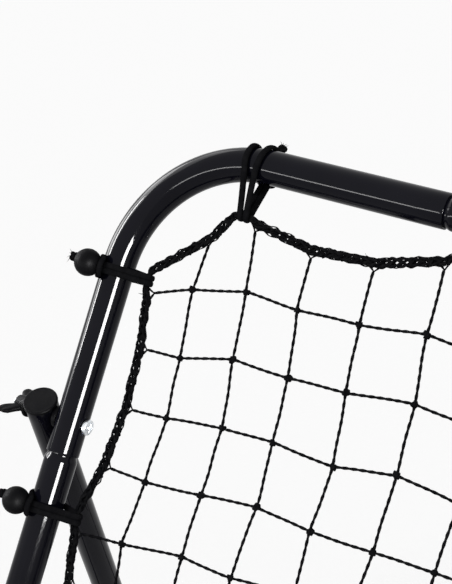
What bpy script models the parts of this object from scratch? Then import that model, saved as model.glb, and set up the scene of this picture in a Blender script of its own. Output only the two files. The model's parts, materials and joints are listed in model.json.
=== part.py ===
"""Rebound net for football practice: a leaning tube panel with a knotted net, two props and a base.

The panel is built upright in its own frame and hung on the panel_hinge empty, which leans it back.
In that frame x runs across, y runs back through the panel and z runs up the slope from the hinge.
The ground is z = 0, +X is the user's right seen from the front and +Y points to the rear.
"""

import math

import bmesh
import bpy
import numpy as np
from mathutils import Matrix

# Clearances, in metres like every length below
FIT_GAP = 0.0003
NECK_GAP = 0.0003

# Steel tube
TUBE_RADIUS = 0.0125
TUBE_WALL = 0.0012
BEND_RADIUS = 0.098
NECK_LENGTH = 0.045
SHOULDER_LENGTH = 0.004
TUBE_SIDES = 12
BEND_STEPS = 6

# Panel
PANEL_WIDTH = 0.815
HINGE_TO_TOP_RAIL = 0.819
PANEL_LEAN = math.radians(28.3)
CROSSBAR_ABOVE_HINGE = 0.050
CORNER_SIDE_ARM = 0.2434
CORNER_TOP_ARM = 0.232
TUBE_BELOW_HINGE = 0.012
CROSSBAR_PLUG = 0.020

# Pivot of the props on the panel, with the dent that seats its spacer
PIVOT_BELOW_TOP_RAIL = 0.219
DENT_DEPTH = 0.0026
DENT_FLAT = 0.020
DENT_RAMP = 0.012
PIVOT_SPACER_RADIUS = 0.0085
PIVOT_SPACER_THICKNESS = 0.0036

# Props
FOOT_BOLT_BEHIND_HINGE = 0.4895
PROP_ABOVE_PIVOT = 0.0095
PROP_BELOW_FOOT = 0.012

# Base
BASE_AXIS_HEIGHT = 0.022
RAIL_AHEAD_OF_HINGE = 0.030
REAR_JOINT_BEHIND_HINGE = 0.285
REAR_BAR_BEHIND_HINGE = 0.733
REAR_BAR_ARM = 0.150
SLOT_AHEAD_OF_FOOT_BOLT = 0.1245
SLOT_BEHIND_FOOT_BOLT = 0.1345
SLOT_LIFT = 0.0028

# Hardware
BOLT_RADIUS = 0.003
BOLT_HEAD_RADIUS = 0.006
BOLT_HEAD_HEIGHT = 0.0038
BOLT_PAST_NUT = 0.003
HINGE_BOLT_RADIUS = 0.004
HINGE_HEAD_RADIUS = 0.0075
HINGE_HEAD_HEIGHT = 0.0045
HINGE_NUT_ACROSS = 0.013
HINGE_NUT_HEIGHT = 0.0075
HINGE_SLEEVE_RADIUS = 0.008
CROSSBAR_BOLT_BITE = 0.014
BOLT_SIDES = 10
HEX_SIDES = 12
DRILL_TURN = 0.25

# Wing nut
NUT_FLANGE_RADIUS = 0.009
NUT_FLANGE_HEIGHT = 0.002
NUT_BOSS_RADIUS = 0.0068
NUT_BOSS_TOP_RADIUS = 0.0052
NUT_HEIGHT = 0.0115
WING_REACH = 0.0135
WING_RISE = 0.0133
WING_TIP_RADIUS = 0.0055
WING_THICKNESS = 0.0038

# Plugs and feet
CAP_FLANGE = 0.0015
CAP_PLUG_LENGTH = 0.005
FOOT_WALL = 0.003
FOOT_CUP_LENGTH = 0.038
FOOT_END_WALL = 0.003
REAR_FOOT_LENGTH = 0.036
REAR_FOOT_FROM_JOINT = 0.049
REAR_FOOT_MOUTH = 0.017

# Net
NET_COLUMNS = 16
NET_ROWS = 14
TWINE_WIDTH = 0.0022
BORDER_WIDTH = 0.0062
BORDER_DEPTH = 0.0040
COLUMN_MARGIN = 0.0508
ROW_MARGIN = 0.0946
ROW_SKEW = 0.0120
TOP_SCALLOP = 0.0155
SIDE_SCALLOP = 0.0130
SIDE_PULL = 1.10
TOP_PULL = 1.14
KNOT_DRIFT = 0.0035
KNOT_DRIFT_TURNS = (10.948, 11.923)
STRAND_FROM_TIE = 0.0095
TIE_STRETCH_ROOM = 0.0026
TIE_ROOM_AT_BORDER = 0.0006

# Elastic ties
TIE_CORD_RADIUS = 0.002
TIE_BALL_RADIUS = 0.0103
TIE_BALL_LIFT = 0.0008
CORNER_TIE_TO_BORDER = 0.0380
RAIL_TIE_TO_BORDER = 0.0280
SIDE_TIE_TO_BORDER = 0.0272
RAIL_TIE_FROM_SIDE = 0.088
RAIL_TIE_PITCH = 0.162
SIDE_TIE_FROM_TOP = 0.102
SIDE_TIE_PITCH = 0.183
RAIL_TIE_SPREAD = 0.0052
SIDE_TIE_SPREAD = 0.0027
TIE_SPREAD_AT_BORDER = 0.0023
SIDE_BALL_TURN = math.radians(49.0)
RAIL_BALL_TURN = math.radians(-84.0)

# Worked out from the sizes above
HALF_WIDTH = PANEL_WIDTH / 2
BORE_RADIUS = TUBE_RADIUS - TUBE_WALL
NECK_RADIUS = BORE_RADIUS - NECK_GAP
NECK_BORE = NECK_RADIUS - TUBE_WALL
HOLE_RADIUS = BOLT_RADIUS + FIT_GAP
HINGE_HOLE_RADIUS = HINGE_BOLT_RADIUS + FIT_GAP
PIVOT_HEIGHT = HINGE_TO_TOP_RAIL - PIVOT_BELOW_TOP_RAIL
PIVOT_ABOVE_FOOT_BOLT = PIVOT_HEIGHT * math.cos(PANEL_LEAN)
FOOT_BOLT_BEHIND_PIVOT = FOOT_BOLT_BEHIND_HINGE - PIVOT_HEIGHT * math.sin(PANEL_LEAN)
PROP_SPAN = math.hypot(PIVOT_ABOVE_FOOT_BOLT, FOOT_BOLT_BEHIND_PIVOT)
PROP_ANGLE = math.atan2(FOOT_BOLT_BEHIND_PIVOT, PIVOT_ABOVE_FOOT_BOLT)
SIDE_JOINT_HEIGHT = HINGE_TO_TOP_RAIL - CORNER_SIDE_ARM
TOP_JOINT_X = HALF_WIDTH - CORNER_TOP_ARM
PROP_OFFSET = 2 * TUBE_RADIUS - DENT_DEPTH + PIVOT_SPACER_THICKNESS + 2 * FIT_GAP
RAIL_OFFSET = PROP_OFFSET + 2 * TUBE_RADIUS + FIT_GAP
PROP_X = HALF_WIDTH + PROP_OFFSET
RAIL_X = HALF_WIDTH + RAIL_OFFSET
BASE_FRONT = -RAIL_AHEAD_OF_HINGE - FOOT_END_WALL - FIT_GAP
BASE_REAR = REAR_BAR_BEHIND_HINGE + TUBE_RADIUS + FIT_GAP + FOOT_WALL
HINGE_Y = -(BASE_FRONT + BASE_REAR) / 2
FOOT_RADIUS = TUBE_RADIUS + FIT_GAP + FOOT_WALL

X_AXIS = np.array([1.0, 0.0, 0.0])
Y_AXIS = np.array([0.0, 1.0, 0.0])
Z_AXIS = np.array([0.0, 0.0, 1.0])


def finish(name, colour, roughness, metallic=0.0):
    """A Principled material of one colour."""
    material = bpy.data.materials.new(name)
    material.use_nodes = True
    shader = material.node_tree.nodes["Principled BSDF"]
    shader.inputs["Base Color"].default_value = (*colour, 1.0)
    shader.inputs["Roughness"].default_value = roughness
    shader.inputs["Metallic"].default_value = metallic
    material.diffuse_color = (*colour, 1.0)
    return material


def add_empty(name, parent=None, location=(0, 0, 0), turn_about_x=0.0):
    """An empty on a joint's axis, to carry what turns with it."""
    empty = bpy.data.objects.new(name, None)
    empty.empty_display_size = 0.05
    empty.location = location
    empty.rotation_euler = (turn_about_x, 0, 0)
    empty.parent = parent
    bpy.context.scene.collection.objects.link(empty)
    return empty


def add_piece(name, points, faces, material, parent=None, location=(0, 0, 0), turn_about_x=0.0):
    """An object from points and faces, its faces turned outwards and its round parts smooth."""
    mesh = bpy.data.meshes.new(name)
    mesh.from_pydata([tuple(point) for point in points], [], faces)
    build = bmesh.new()
    build.from_mesh(mesh)
    bmesh.ops.recalc_face_normals(build, faces=build.faces)
    build.to_mesh(mesh)
    build.free()
    mesh.shade_smooth()
    mesh.set_sharp_from_angle(angle=math.radians(35))
    mesh.materials.append(material)
    piece = bpy.data.objects.new(name, mesh)
    piece.parent = parent
    piece.location = location
    piece.rotation_euler = (turn_about_x, 0, 0)
    bpy.context.scene.collection.objects.link(piece)
    return piece


def tool(piece):
    """Hides a cutter or a filler, which only shapes another piece."""
    piece.hide_render = True
    piece.display_type = "WIRE"
    return piece


def combine(piece, other, operation):
    """Cuts other out of piece, or joins it on."""
    modifier = piece.modifiers.new(other.name, "BOOLEAN")
    modifier.operation = operation
    modifier.solver = "EXACT"
    modifier.object = tool(other)


def ring(centre, across, normal, radius, dent=0.0, sides=TUBE_SIDES, phase=0.0):
    """Points round a section. A dent stops it short of its radius on the side of across."""
    turn = (np.arange(sides) + phase) * (2 * math.pi / sides)
    reach = np.minimum(radius * np.cos(turn), radius - dent)
    return centre + np.outer(reach, across) + np.outer(radius * np.sin(turn), normal)


def skin(rings, closed=False):
    """Quads between neighbouring rings of the same number of points."""
    count, sides = len(rings), len(rings[0])
    faces = []
    for i in range(count if closed else count - 1):
        for j in range(sides):
            k = (j + 1) % sides
            here, there = i * sides, (i + 1) % count * sides
            faces.append((here + j, here + k, there + k, there + j))
    return faces


def hollow_tube(name, stations, material, parent):
    """A tube with a bore. A station is (centre, across, normal, radius, bore radius, dent)."""
    outer = [ring(c, a, n, radius, dent) for c, a, n, radius, bore, dent in stations]
    inner = [ring(c, a, n, bore, dent) for c, a, n, radius, bore, dent in stations]
    rings = outer + inner[::-1]
    return add_piece(name, np.concatenate(rings), skin(rings, closed=True), material, parent)


def rod(name, start, end, radius, material, parent, sides=TUBE_SIDES, phase=0.0):
    """A solid cylinder between two points. Phase turns its facets, counted in facets."""
    start, end = np.array(start, float), np.array(end, float)
    along = (end - start) / np.linalg.norm(end - start)
    across = Y_AXIS if abs(along[1]) < 0.9 else Z_AXIS
    normal = np.cross(along, across)
    rings = [ring(end_point, across, normal, radius, 0.0, sides, phase) for end_point in (start, end)]
    faces = skin(rings) + [tuple(range(sides)), tuple(range(sides, 2 * sides))]
    return add_piece(name, np.concatenate(rings), faces, material, parent)


def drill(piece, start, end, radius, parent, sides=BOLT_SIDES):
    """A round hole through a piece. The cutter's facets are turned so that no two corners meet."""
    name = f"{piece.name}_hole_{len(piece.modifiers) + 1}"
    combine(piece, rod(name, start, end, radius, None, parent, sides, DRILL_TURN), "DIFFERENCE")


def turned(name, profile, material, parent, location, axis, sides=BOLT_SIDES, ends_on_axis=True, hex_from=None):
    """A profile of (radius, distance along the axis) turned round the axis.

    With ends_on_axis its first and last points are poles, otherwise the profile is a closed loop.
    From hex_from on, a loop's points lie on a hexagon: every second one is drawn in to its flats.
    """
    across = Z_AXIS if abs(axis[2]) < 0.9 else Y_AXIS
    normal = np.cross(axis, across)
    turn = np.arange(sides) * (2 * math.pi / sides)
    circle = np.outer(np.cos(turn), across) + np.outer(np.sin(turn), normal)
    flats = np.where(np.arange(sides) % 2 == 1, math.cos(math.pi / 6), 1.0)
    rings = []
    for i, (radius, along) in enumerate(profile[1:-1] if ends_on_axis else profile):
        drawn_in = flats[:, None] if hex_from is not None and i >= hex_from else 1.0
        rings.append(circle * radius * drawn_in + axis * along)
    points = np.concatenate(rings)
    faces = skin(rings, closed=not ends_on_axis)
    if ends_on_axis:
        first, last = len(points), len(points) + 1
        points = np.vstack([points, axis * profile[0][1], axis * profile[-1][1]])
        back = (len(rings) - 1) * sides
        for j in range(sides):
            k = (j + 1) % sides
            faces.append((first, k, j))
            faces.append((last, back + j, back + k))
    return add_piece(name, points, faces, material, parent, location)


def bolt(name, location, axis, length, shaft, head, height, material, parent):
    """A domed bolt. The underside of its head is at location and its shaft runs along axis."""
    profile = [
        (0, -height),
        (head * 0.72, -height * 0.85),
        (head, -height * 0.25),
        (head, 0),
        (shaft, 0),
        (shaft, length),
        (0, length),
    ]
    return turned(name, profile, material, parent, location, axis)


def washer(name, location, axis, bore, radius, thickness, material, parent):
    """A flat ring or a sleeve that starts at location."""
    profile = [(bore, 0), (radius, 0), (radius, thickness), (bore, thickness)]
    return turned(name, profile, material, parent, location, axis, TUBE_SIDES, False)


def end_cap(name, location, axis, material, parent):
    """A plug for a tube's end. Its flange stands out along axis and its plug goes into the bore."""
    plug = BORE_RADIUS - FIT_GAP
    profile = [
        (0, CAP_FLANGE + FIT_GAP),
        (TUBE_RADIUS * 0.93, CAP_FLANGE + FIT_GAP),
        (TUBE_RADIUS, FIT_GAP),
        (plug, FIT_GAP),
        (plug, -CAP_PLUG_LENGTH),
        (0, -CAP_PLUG_LENGTH),
    ]
    return turned(name, profile, material, parent, location, axis, TUBE_SIDES)


def dent_at(height):
    """Depth of the dent at a height on the panel's side, flat round the pivot and faded beyond."""
    past = abs(height - PIVOT_HEIGHT) - DENT_FLAT / 2
    fade = min(max(past / DENT_RAMP, 0.0), 1.0)
    return DENT_DEPTH * (0.5 + 0.5 * math.cos(math.pi * fade))


def dent_heights(low, high):
    """Heights between low and high where the dent needs a ring of points."""
    half = DENT_FLAT / 2
    steps = [-half - DENT_RAMP, -half - DENT_RAMP / 2, -half, half, half + DENT_RAMP / 2, half + DENT_RAMP]
    heights = [PIVOT_HEIGHT + step for step in steps]
    return [height for height in heights if low + 0.001 < height < high - 0.001]


def bend(corner, along_first, along_second, radius, bore):
    """Stations of a quarter bend. corner is where the two axes would meet.

    The tube arrives along along_first, towards the corner, and leaves along along_second.
    """
    centre = corner - along_first * BEND_RADIUS + along_second * BEND_RADIUS
    normal = np.cross(along_first, along_second)
    stations = []
    for i in range(BEND_STEPS + 1):
        turn = i / BEND_STEPS * math.pi / 2
        outward = -along_second * math.cos(turn) + along_first * math.sin(turn)
        stations.append((centre + outward * BEND_RADIUS, outward, normal, radius, bore, 0.0))
    return stations


def swaged_bar(name, half_length, centre, material, parent):
    """A straight bar across the part whose two ends are drawn down to go into a neighbour."""
    stations = []
    for x, radius in (
        (-half_length - NECK_LENGTH, NECK_RADIUS),
        (-half_length, NECK_RADIUS),
        (-half_length + SHOULDER_LENGTH, TUBE_RADIUS),
        (half_length - SHOULDER_LENGTH, TUBE_RADIUS),
        (half_length, NECK_RADIUS),
        (half_length + NECK_LENGTH, NECK_RADIUS),
    ):
        stations.append((centre + X_AXIS * x, Z_AXIS, Y_AXIS, radius, radius - TUBE_WALL, 0.0))
    return hollow_tube(name, stations, material, parent)


def upper_corner_tube(word, side, material, parent):
    """Rounded corner of the panel, from the joint below the pivot to the joint in the top rail."""
    outward = X_AXIS * side
    side_axis = outward * HALF_WIDTH
    normal = np.cross(Z_AXIS, -outward)
    heights = [SIDE_JOINT_HEIGHT, *dent_heights(SIDE_JOINT_HEIGHT, HINGE_TO_TOP_RAIL - BEND_RADIUS)]
    stations = [
        (side_axis + Z_AXIS * z, outward, normal, TUBE_RADIUS, BORE_RADIUS, dent_at(z)) for z in heights
    ]
    corner = side_axis + Z_AXIS * HINGE_TO_TOP_RAIL
    stations += bend(corner, Z_AXIS, -outward, TUBE_RADIUS, BORE_RADIUS)
    rail_end = outward * TOP_JOINT_X + Z_AXIS * HINGE_TO_TOP_RAIL
    stations.append((rail_end, Z_AXIS, normal, TUBE_RADIUS, BORE_RADIUS, 0.0))
    tube = hollow_tube(f"upper_corner_tube_{word}", stations, material, parent)
    pivot = side_axis + Z_AXIS * PIVOT_HEIGHT
    drill(tube, pivot - outward * 0.02, pivot + outward * 0.02, HOLE_RADIUS, parent)
    return tube


def lower_side_tube(word, side, material, parent):
    """Side of the panel below the joint. Its neck goes up inside the corner tube, past the pivot."""
    outward = X_AXIS * side
    side_axis = outward * HALF_WIDTH
    joint = SIDE_JOINT_HEIGHT - FIT_GAP
    neck_end = joint + NECK_LENGTH
    places = [(-TUBE_BELOW_HINGE, TUBE_RADIUS), (joint - SHOULDER_LENGTH, TUBE_RADIUS), (joint, NECK_RADIUS)]
    places += [(z, NECK_RADIUS) for z in dent_heights(joint, neck_end)]
    places.append((neck_end, NECK_RADIUS))
    stations = [
        (side_axis + Z_AXIS * z, outward, Y_AXIS * side, radius, radius - TUBE_WALL, dent_at(z))
        for z, radius in places
    ]
    tube = hollow_tube(f"lower_side_tube_{word}", stations, material, parent)
    for height, radius in (
        (PIVOT_HEIGHT, HOLE_RADIUS),
        (CROSSBAR_ABOVE_HINGE, HOLE_RADIUS),
        (0.0, HINGE_HOLE_RADIUS),
    ):
        hole = side_axis + Z_AXIS * height
        drill(tube, hole - outward * 0.02, hole + outward * 0.02, radius, parent)
    return tube


def crossbar(material, parent):
    """Bottom bar, coped to the side tubes, with a threaded plug in each end for its bolt."""
    axis = Z_AXIS * CROSSBAR_ABOVE_HINGE
    reach = X_AXIS * (HALF_WIDTH - TUBE_RADIUS * 0.3)
    bar = rod("bottom_crossbar", axis - reach, axis + reach, TUBE_RADIUS, material, parent)
    plug_end = X_AXIS * (HALF_WIDTH - TUBE_RADIUS - CROSSBAR_PLUG)
    bore = rod("crossbar_bore", axis - plug_end, axis + plug_end, BORE_RADIUS, None, parent)
    combine(bar, bore, "DIFFERENCE")
    for side in (-1, 1):
        side_axis = X_AXIS * side * HALF_WIDTH
        low = side_axis + Z_AXIS * (CROSSBAR_ABOVE_HINGE - 0.03)
        high = side_axis + Z_AXIS * (CROSSBAR_ABOVE_HINGE + 0.03)
        drill(bar, low, high, TUBE_RADIUS + FIT_GAP, parent, 2 * TUBE_SIDES)
        drill(bar, axis + side_axis, axis + plug_end * side * 0.99, HOLE_RADIUS, parent)
    return bar


def crossbar_bolt(word, side, material, parent):
    """Bolt through the side tube into the crossbar's plug, its head outside."""
    inward = -X_AXIS * side
    start = X_AXIS * side * (HALF_WIDTH + TUBE_RADIUS + FIT_GAP) + Z_AXIS * CROSSBAR_ABOVE_HINGE
    length = 2 * (TUBE_RADIUS + FIT_GAP) + CROSSBAR_BOLT_BITE
    bolt(
        f"crossbar_bolt_{word}", start, inward, length,
        BOLT_RADIUS, BOLT_HEAD_RADIUS, BOLT_HEAD_HEIGHT, material, parent,
    )


def pivot_hardware(word, side, zinc, black_plastic, parent):
    """Bolt through the panel's side, with its head inside, and the spacer that carries the prop."""
    outward = X_AXIS * side
    pivot = outward * HALF_WIDTH + Z_AXIS * PIVOT_HEIGHT
    seat = pivot - outward * (TUBE_RADIUS + FIT_GAP)
    length = 2 * TUBE_RADIUS + PROP_OFFSET + 2 * FIT_GAP + NUT_HEIGHT + BOLT_PAST_NUT
    bolt(
        f"pivot_bolt_{word}", seat, outward, length,
        BOLT_RADIUS, BOLT_HEAD_RADIUS, BOLT_HEAD_HEIGHT, zinc, parent,
    )
    spacer_seat = pivot + outward * (TUBE_RADIUS - DENT_DEPTH + FIT_GAP)
    washer(
        f"pivot_spacer_{word}", spacer_seat, outward, HOLE_RADIUS,
        PIVOT_SPACER_RADIUS, PIVOT_SPACER_THICKNESS, black_plastic, parent,
    )


def wing_plate(name, side, parent, location, turn_about_x):
    """Both wings as one flat plate: a rounded tip each side of the nut, raised away from its seat."""
    arc = [math.radians(degrees) for degrees in range(-50, 171, 44)]
    half = [(0.0, NUT_FLANGE_HEIGHT * 0.8), (WING_REACH * 0.6, NUT_FLANGE_HEIGHT * 1.2)]
    half += [
        (WING_REACH + WING_TIP_RADIUS * math.cos(turn), WING_RISE + WING_TIP_RADIUS * math.sin(turn))
        for turn in arc
    ]
    half.append((NUT_BOSS_TOP_RADIUS, NUT_HEIGHT * 0.85))
    outline = half + [(-w, a) for w, a in half[::-1] if w > 0]
    count = len(outline)
    points = [(side * a, w, z) for z in (-WING_THICKNESS / 2, WING_THICKNESS / 2) for w, a in outline]
    faces = [tuple(range(count)), tuple(range(count, 2 * count))]
    faces += [(i, (i + 1) % count, count + (i + 1) % count, count + i) for i in range(count)]
    return add_piece(name, points, faces, None, parent, location, turn_about_x)


def wing_nut(name, side, seat_x, height, material, parent, turn_about_x):
    """Wing nut at a height on its bolt's axis, with its flange's face at side * seat_x."""
    location = (side * seat_x, 0, height)
    profile = [
        (0, 0),
        (NUT_FLANGE_RADIUS, 0),
        (NUT_FLANGE_RADIUS, NUT_FLANGE_HEIGHT),
        (NUT_BOSS_RADIUS, NUT_FLANGE_HEIGHT * 1.4),
        (NUT_BOSS_TOP_RADIUS, NUT_HEIGHT),
        (0, NUT_HEIGHT),
    ]
    nut = turned(name, profile, material, parent, location, X_AXIS * side)
    nut.rotation_euler = (turn_about_x, 0, 0)
    combine(nut, wing_plate(f"{name}_wings", side, parent, location, turn_about_x), "UNION")
    bore_start = np.array([side * (seat_x - 0.005), 0, height])
    bore_end = np.array([side * (seat_x + 0.030), 0, height])
    drill(nut, bore_start, bore_end, HOLE_RADIUS, parent)
    return nut


def prop(word, side, steel, zinc, black_plastic, panel):
    """A prop with its two plugs and its foot bolt, on an empty at the pivot on the panel."""
    outward = X_AXIS * side
    turn = PANEL_LEAN + PROP_ANGLE
    pivot = add_empty(f"prop_pivot_{word}", panel, outward * PROP_X + Z_AXIS * PIVOT_HEIGHT, turn)
    top, foot = Z_AXIS * PROP_ABOVE_PIVOT, -Z_AXIS * PROP_SPAN
    bottom = foot - Z_AXIS * PROP_BELOW_FOOT
    stations = [(place, outward, Y_AXIS * side, TUBE_RADIUS, BORE_RADIUS, 0.0) for place in (bottom, top)]
    tube = hollow_tube(f"prop_tube_{word}", stations, steel, pivot)
    for centre in (np.zeros(3), foot):
        drill(tube, centre - outward * 0.02, centre + outward * 0.02, HOLE_RADIUS, pivot)
    end_cap(f"prop_top_cap_{word}", top, Z_AXIS, black_plastic, pivot)
    end_cap(f"prop_foot_cap_{word}", bottom, -Z_AXIS, black_plastic, pivot)
    seat = foot - outward * (TUBE_RADIUS + FIT_GAP)
    length = 4 * TUBE_RADIUS + 3 * FIT_GAP + NUT_HEIGHT + BOLT_PAST_NUT
    bolt(
        f"foot_bolt_{word}", seat, outward, length,
        BOLT_RADIUS, BOLT_HEAD_RADIUS, BOLT_HEAD_HEIGHT, zinc, pivot,
    )
    foot_seat = 3 * TUBE_RADIUS + 2 * FIT_GAP
    wing_nut(f"foot_wing_nut_{word}", side, foot_seat, -PROP_SPAN, black_plastic, pivot, -PROP_ANGLE)


def base_side(word, side, steel, base):
    """One side of the base: the front rail, with a neck at its rear end, and the slotted rear tube."""
    outward = X_AXIS * side
    rail = outward * RAIL_X
    joint = REAR_JOINT_BEHIND_HINGE
    stations = []
    for y, radius in (
        (-RAIL_AHEAD_OF_HINGE, TUBE_RADIUS),
        (joint - FIT_GAP - SHOULDER_LENGTH, TUBE_RADIUS),
        (joint - FIT_GAP, NECK_RADIUS),
        (joint - FIT_GAP + NECK_LENGTH, NECK_RADIUS),
    ):
        stations.append((rail + Y_AXIS * y, outward, Z_AXIS, radius, radius - TUBE_WALL, 0.0))
    front = hollow_tube(f"front_rail_{word}", stations, steel, base)
    drill(front, rail - outward * 0.02, rail + outward * 0.02, HINGE_HOLE_RADIUS, base)

    normal = np.cross(Y_AXIS, -outward)
    stations = [(rail + Y_AXIS * joint, outward, normal, TUBE_RADIUS, BORE_RADIUS, 0.0)]
    corner = rail + Y_AXIS * REAR_BAR_BEHIND_HINGE
    stations += bend(corner, Y_AXIS, -outward, TUBE_RADIUS, BORE_RADIUS)
    end = corner - outward * REAR_BAR_ARM
    stations.append((end, Y_AXIS, normal, TUBE_RADIUS, BORE_RADIUS, 0.0))
    rear = hollow_tube(f"rear_corner_tube_{word}", stations, steel, base)
    combine(rear, slot_cutter(f"adjuster_slot_{word}", side, base), "DIFFERENCE")


def slot_cutter(name, side, parent):
    """The slot that the foot bolt slides in: a long hole with round ends through both walls."""
    low = -BOLT_RADIUS - FIT_GAP
    high = BOLT_RADIUS + FIT_GAP + SLOT_LIFT
    radius, middle = (high - low) / 2, (high + low) / 2
    front = FOOT_BOLT_BEHIND_HINGE - SLOT_AHEAD_OF_FOOT_BOLT
    rear = FOOT_BOLT_BEHIND_HINGE + SLOT_BEHIND_FOOT_BOLT
    outline = []
    for centre, start in ((rear, -90), (front, 90)):
        for i in range(5):
            turn = math.radians(start + 45 * i)
            outline.append((centre + radius * math.cos(turn), middle + radius * math.sin(turn)))
    count = len(outline)
    reach = TUBE_RADIUS * 1.4
    points = [(side * RAIL_X + x, y, z) for x in (-reach, reach) for y, z in outline]
    faces = [tuple(range(count)), tuple(range(count, 2 * count))]
    faces += [(i, (i + 1) % count, count + (i + 1) % count, count + i) for i in range(count)]
    return add_piece(name, points, faces, None, parent)


def foot_block(name, centre, along, length, material, parent):
    """A block with a flat sole and a round top, lying along a base tube from centre."""
    across = np.cross(along, Z_AXIS)
    outline = [(-FOOT_RADIUS, -BASE_AXIS_HEIGHT), (FOOT_RADIUS, -BASE_AXIS_HEIGHT)]
    outline += [
        (FOOT_RADIUS * math.cos(turn), FOOT_RADIUS * math.sin(turn)) for turn in np.linspace(0, math.pi, 7)
    ]
    count = len(outline)
    points = [
        centre + along * distance + across * a + Z_AXIS * z for distance in (0, length) for a, z in outline
    ]
    faces = [tuple(range(count)), tuple(range(count, 2 * count))]
    faces += [(i, (i + 1) % count, count + (i + 1) % count, count + i) for i in range(count)]
    return add_piece(name, points, faces, material, parent)


def feet(rubber, base):
    """Two cup feet on the front ends of the rails and two clip feet under the rear bar."""
    seat_radius = TUBE_RADIUS + FIT_GAP
    for word, side in (("left", -1), ("right", 1)):
        front_end = X_AXIS * side * RAIL_X - Y_AXIS * RAIL_AHEAD_OF_HINGE
        start = front_end - Y_AXIS * (FOOT_END_WALL + FIT_GAP)
        cup_length = min(FOOT_CUP_LENGTH, RAIL_AHEAD_OF_HINGE - HINGE_NUT_ACROSS + FOOT_END_WALL)
        cup = foot_block(f"front_foot_{word}", start, Y_AXIS, cup_length, rubber, base)
        drill(cup, front_end - Y_AXIS * FIT_GAP, front_end + Y_AXIS * 0.08, seat_radius, base, 2 * TUBE_SIDES)

        foot_x = side * (RAIL_X - REAR_BAR_ARM - REAR_FOOT_FROM_JOINT)
        bar_place = X_AXIS * foot_x + Y_AXIS * REAR_BAR_BEHIND_HINGE
        start = bar_place - X_AXIS * REAR_FOOT_LENGTH / 2
        clip = foot_block(f"rear_foot_{word}", start, X_AXIS, REAR_FOOT_LENGTH, rubber, base)
        reach = X_AXIS * REAR_FOOT_LENGTH
        drill(clip, bar_place - reach, bar_place + reach, seat_radius, base, 2 * TUBE_SIDES)
        half = REAR_FOOT_MOUTH / 2
        low, high = TUBE_RADIUS * 0.3, FOOT_RADIUS + 0.005
        corners = [
            bar_place + np.array([x, y, z])
            for x in (-REAR_FOOT_LENGTH, REAR_FOOT_LENGTH) for y in (-half, half) for z in (low, high)
        ]
        faces = [(0, 1, 3, 2), (4, 5, 7, 6), (0, 1, 5, 4), (2, 3, 7, 6), (0, 2, 6, 4), (1, 3, 7, 5)]
        combine(clip, add_piece(f"rear_foot_mouth_{word}", corners, faces, None, base), "DIFFERENCE")


def hinge_hardware(word, side, zinc, base):
    """Bolt, sleeve and nut of the hinge between the panel's side and the front rail."""
    outward = X_AXIS * side
    panel_face = HALF_WIDTH + TUBE_RADIUS + FIT_GAP
    rail_face = RAIL_X - TUBE_RADIUS - FIT_GAP
    nut_face = RAIL_X + TUBE_RADIUS + FIT_GAP
    head_face = HALF_WIDTH - TUBE_RADIUS - FIT_GAP
    length = nut_face - head_face + HINGE_NUT_HEIGHT + BOLT_PAST_NUT
    bolt(
        f"hinge_bolt_{word}", outward * head_face, outward, length,
        HINGE_BOLT_RADIUS, HINGE_HEAD_RADIUS, HINGE_HEAD_HEIGHT, zinc, base,
    )
    washer(
        f"hinge_sleeve_{word}", outward * panel_face, outward, HINGE_HOLE_RADIUS,
        HINGE_SLEEVE_RADIUS, rail_face - panel_face, zinc, base,
    )
    corner = HINGE_NUT_ACROSS / 2 / math.cos(math.pi / 6)
    profile = [
        (HINGE_HOLE_RADIUS, HINGE_NUT_HEIGHT),
        (HINGE_HOLE_RADIUS, 0),
        (corner, 0),
        (corner, HINGE_NUT_HEIGHT * 0.8),
        (corner * 0.8, HINGE_NUT_HEIGHT),
    ]
    turned(
        f"hinge_nut_{word}", profile, zinc, base, outward * nut_face, outward,
        sides=HEX_SIDES, ends_on_axis=False, hex_from=2,
    )


def rail_tie_places():
    """Distances of the ties on the top and bottom bars from the left side tube's axis."""
    first, second = RAIL_TIE_FROM_SIDE, RAIL_TIE_FROM_SIDE + RAIL_TIE_PITCH
    return np.array([first, second, HALF_WIDTH, PANEL_WIDTH - second, PANEL_WIDTH - first])


def net_height():
    """Distance between the axes of the top rail and the crossbar."""
    return HINGE_TO_TOP_RAIL - CROSSBAR_ABOVE_HINGE


def side_tie_places():
    """Distances of the ties on the side tubes below the top rail's axis."""
    first, second = SIDE_TIE_FROM_TOP, SIDE_TIE_FROM_TOP + SIDE_TIE_PITCH
    return np.array([first, second, net_height() - second, net_height() - first])


def rail_tie_lengths():
    """Distances from a bar's axis to the border at its ties: the corner ties are the longer ones."""
    return np.array([CORNER_TIE_TO_BORDER, *[RAIL_TIE_TO_BORDER] * 3, CORNER_TIE_TO_BORDER])


def side_tie_lengths():
    """Distances from a side tube's axis to the border at its ties."""
    return np.full(4, SIDE_TIE_TO_BORDER)


def scalloped(place, ties, at_ties, sag):
    """How far the border lies from its tube: at_ties at the ties, deeper by sag halfway between two."""
    k = int(np.clip(np.searchsorted(ties, place) - 1, 0, len(ties) - 2))
    share = min(max((place - ties[k]) / (ties[k + 1] - ties[k]), 0.0), 1.0)
    return at_ties[k] * (1 - share) + at_ties[k + 1] * share + sag * 4 * share * (1 - share)


def clear_of_ties(place, ties):
    """A strand's end on the border, moved along it out of the way of a tie."""
    nearest = ties[int(np.argmin(np.abs(ties - place)))]
    if abs(place - nearest) >= STRAND_FROM_TIE:
        return place
    return nearest + math.copysign(STRAND_FROM_TIE, place - nearest)


def on_corner_cut(share):
    """A point of the straight border between a corner's side tie and its rail tie.

    It is given as distances from the side tube's axis and from the rail's axis.
    """
    across = SIDE_TIE_TO_BORDER + (RAIL_TIE_FROM_SIDE - SIDE_TIE_TO_BORDER) * share
    down = SIDE_TIE_FROM_TOP + (CORNER_TIE_TO_BORDER - SIDE_TIE_FROM_TOP) * share
    return across, down


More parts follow.
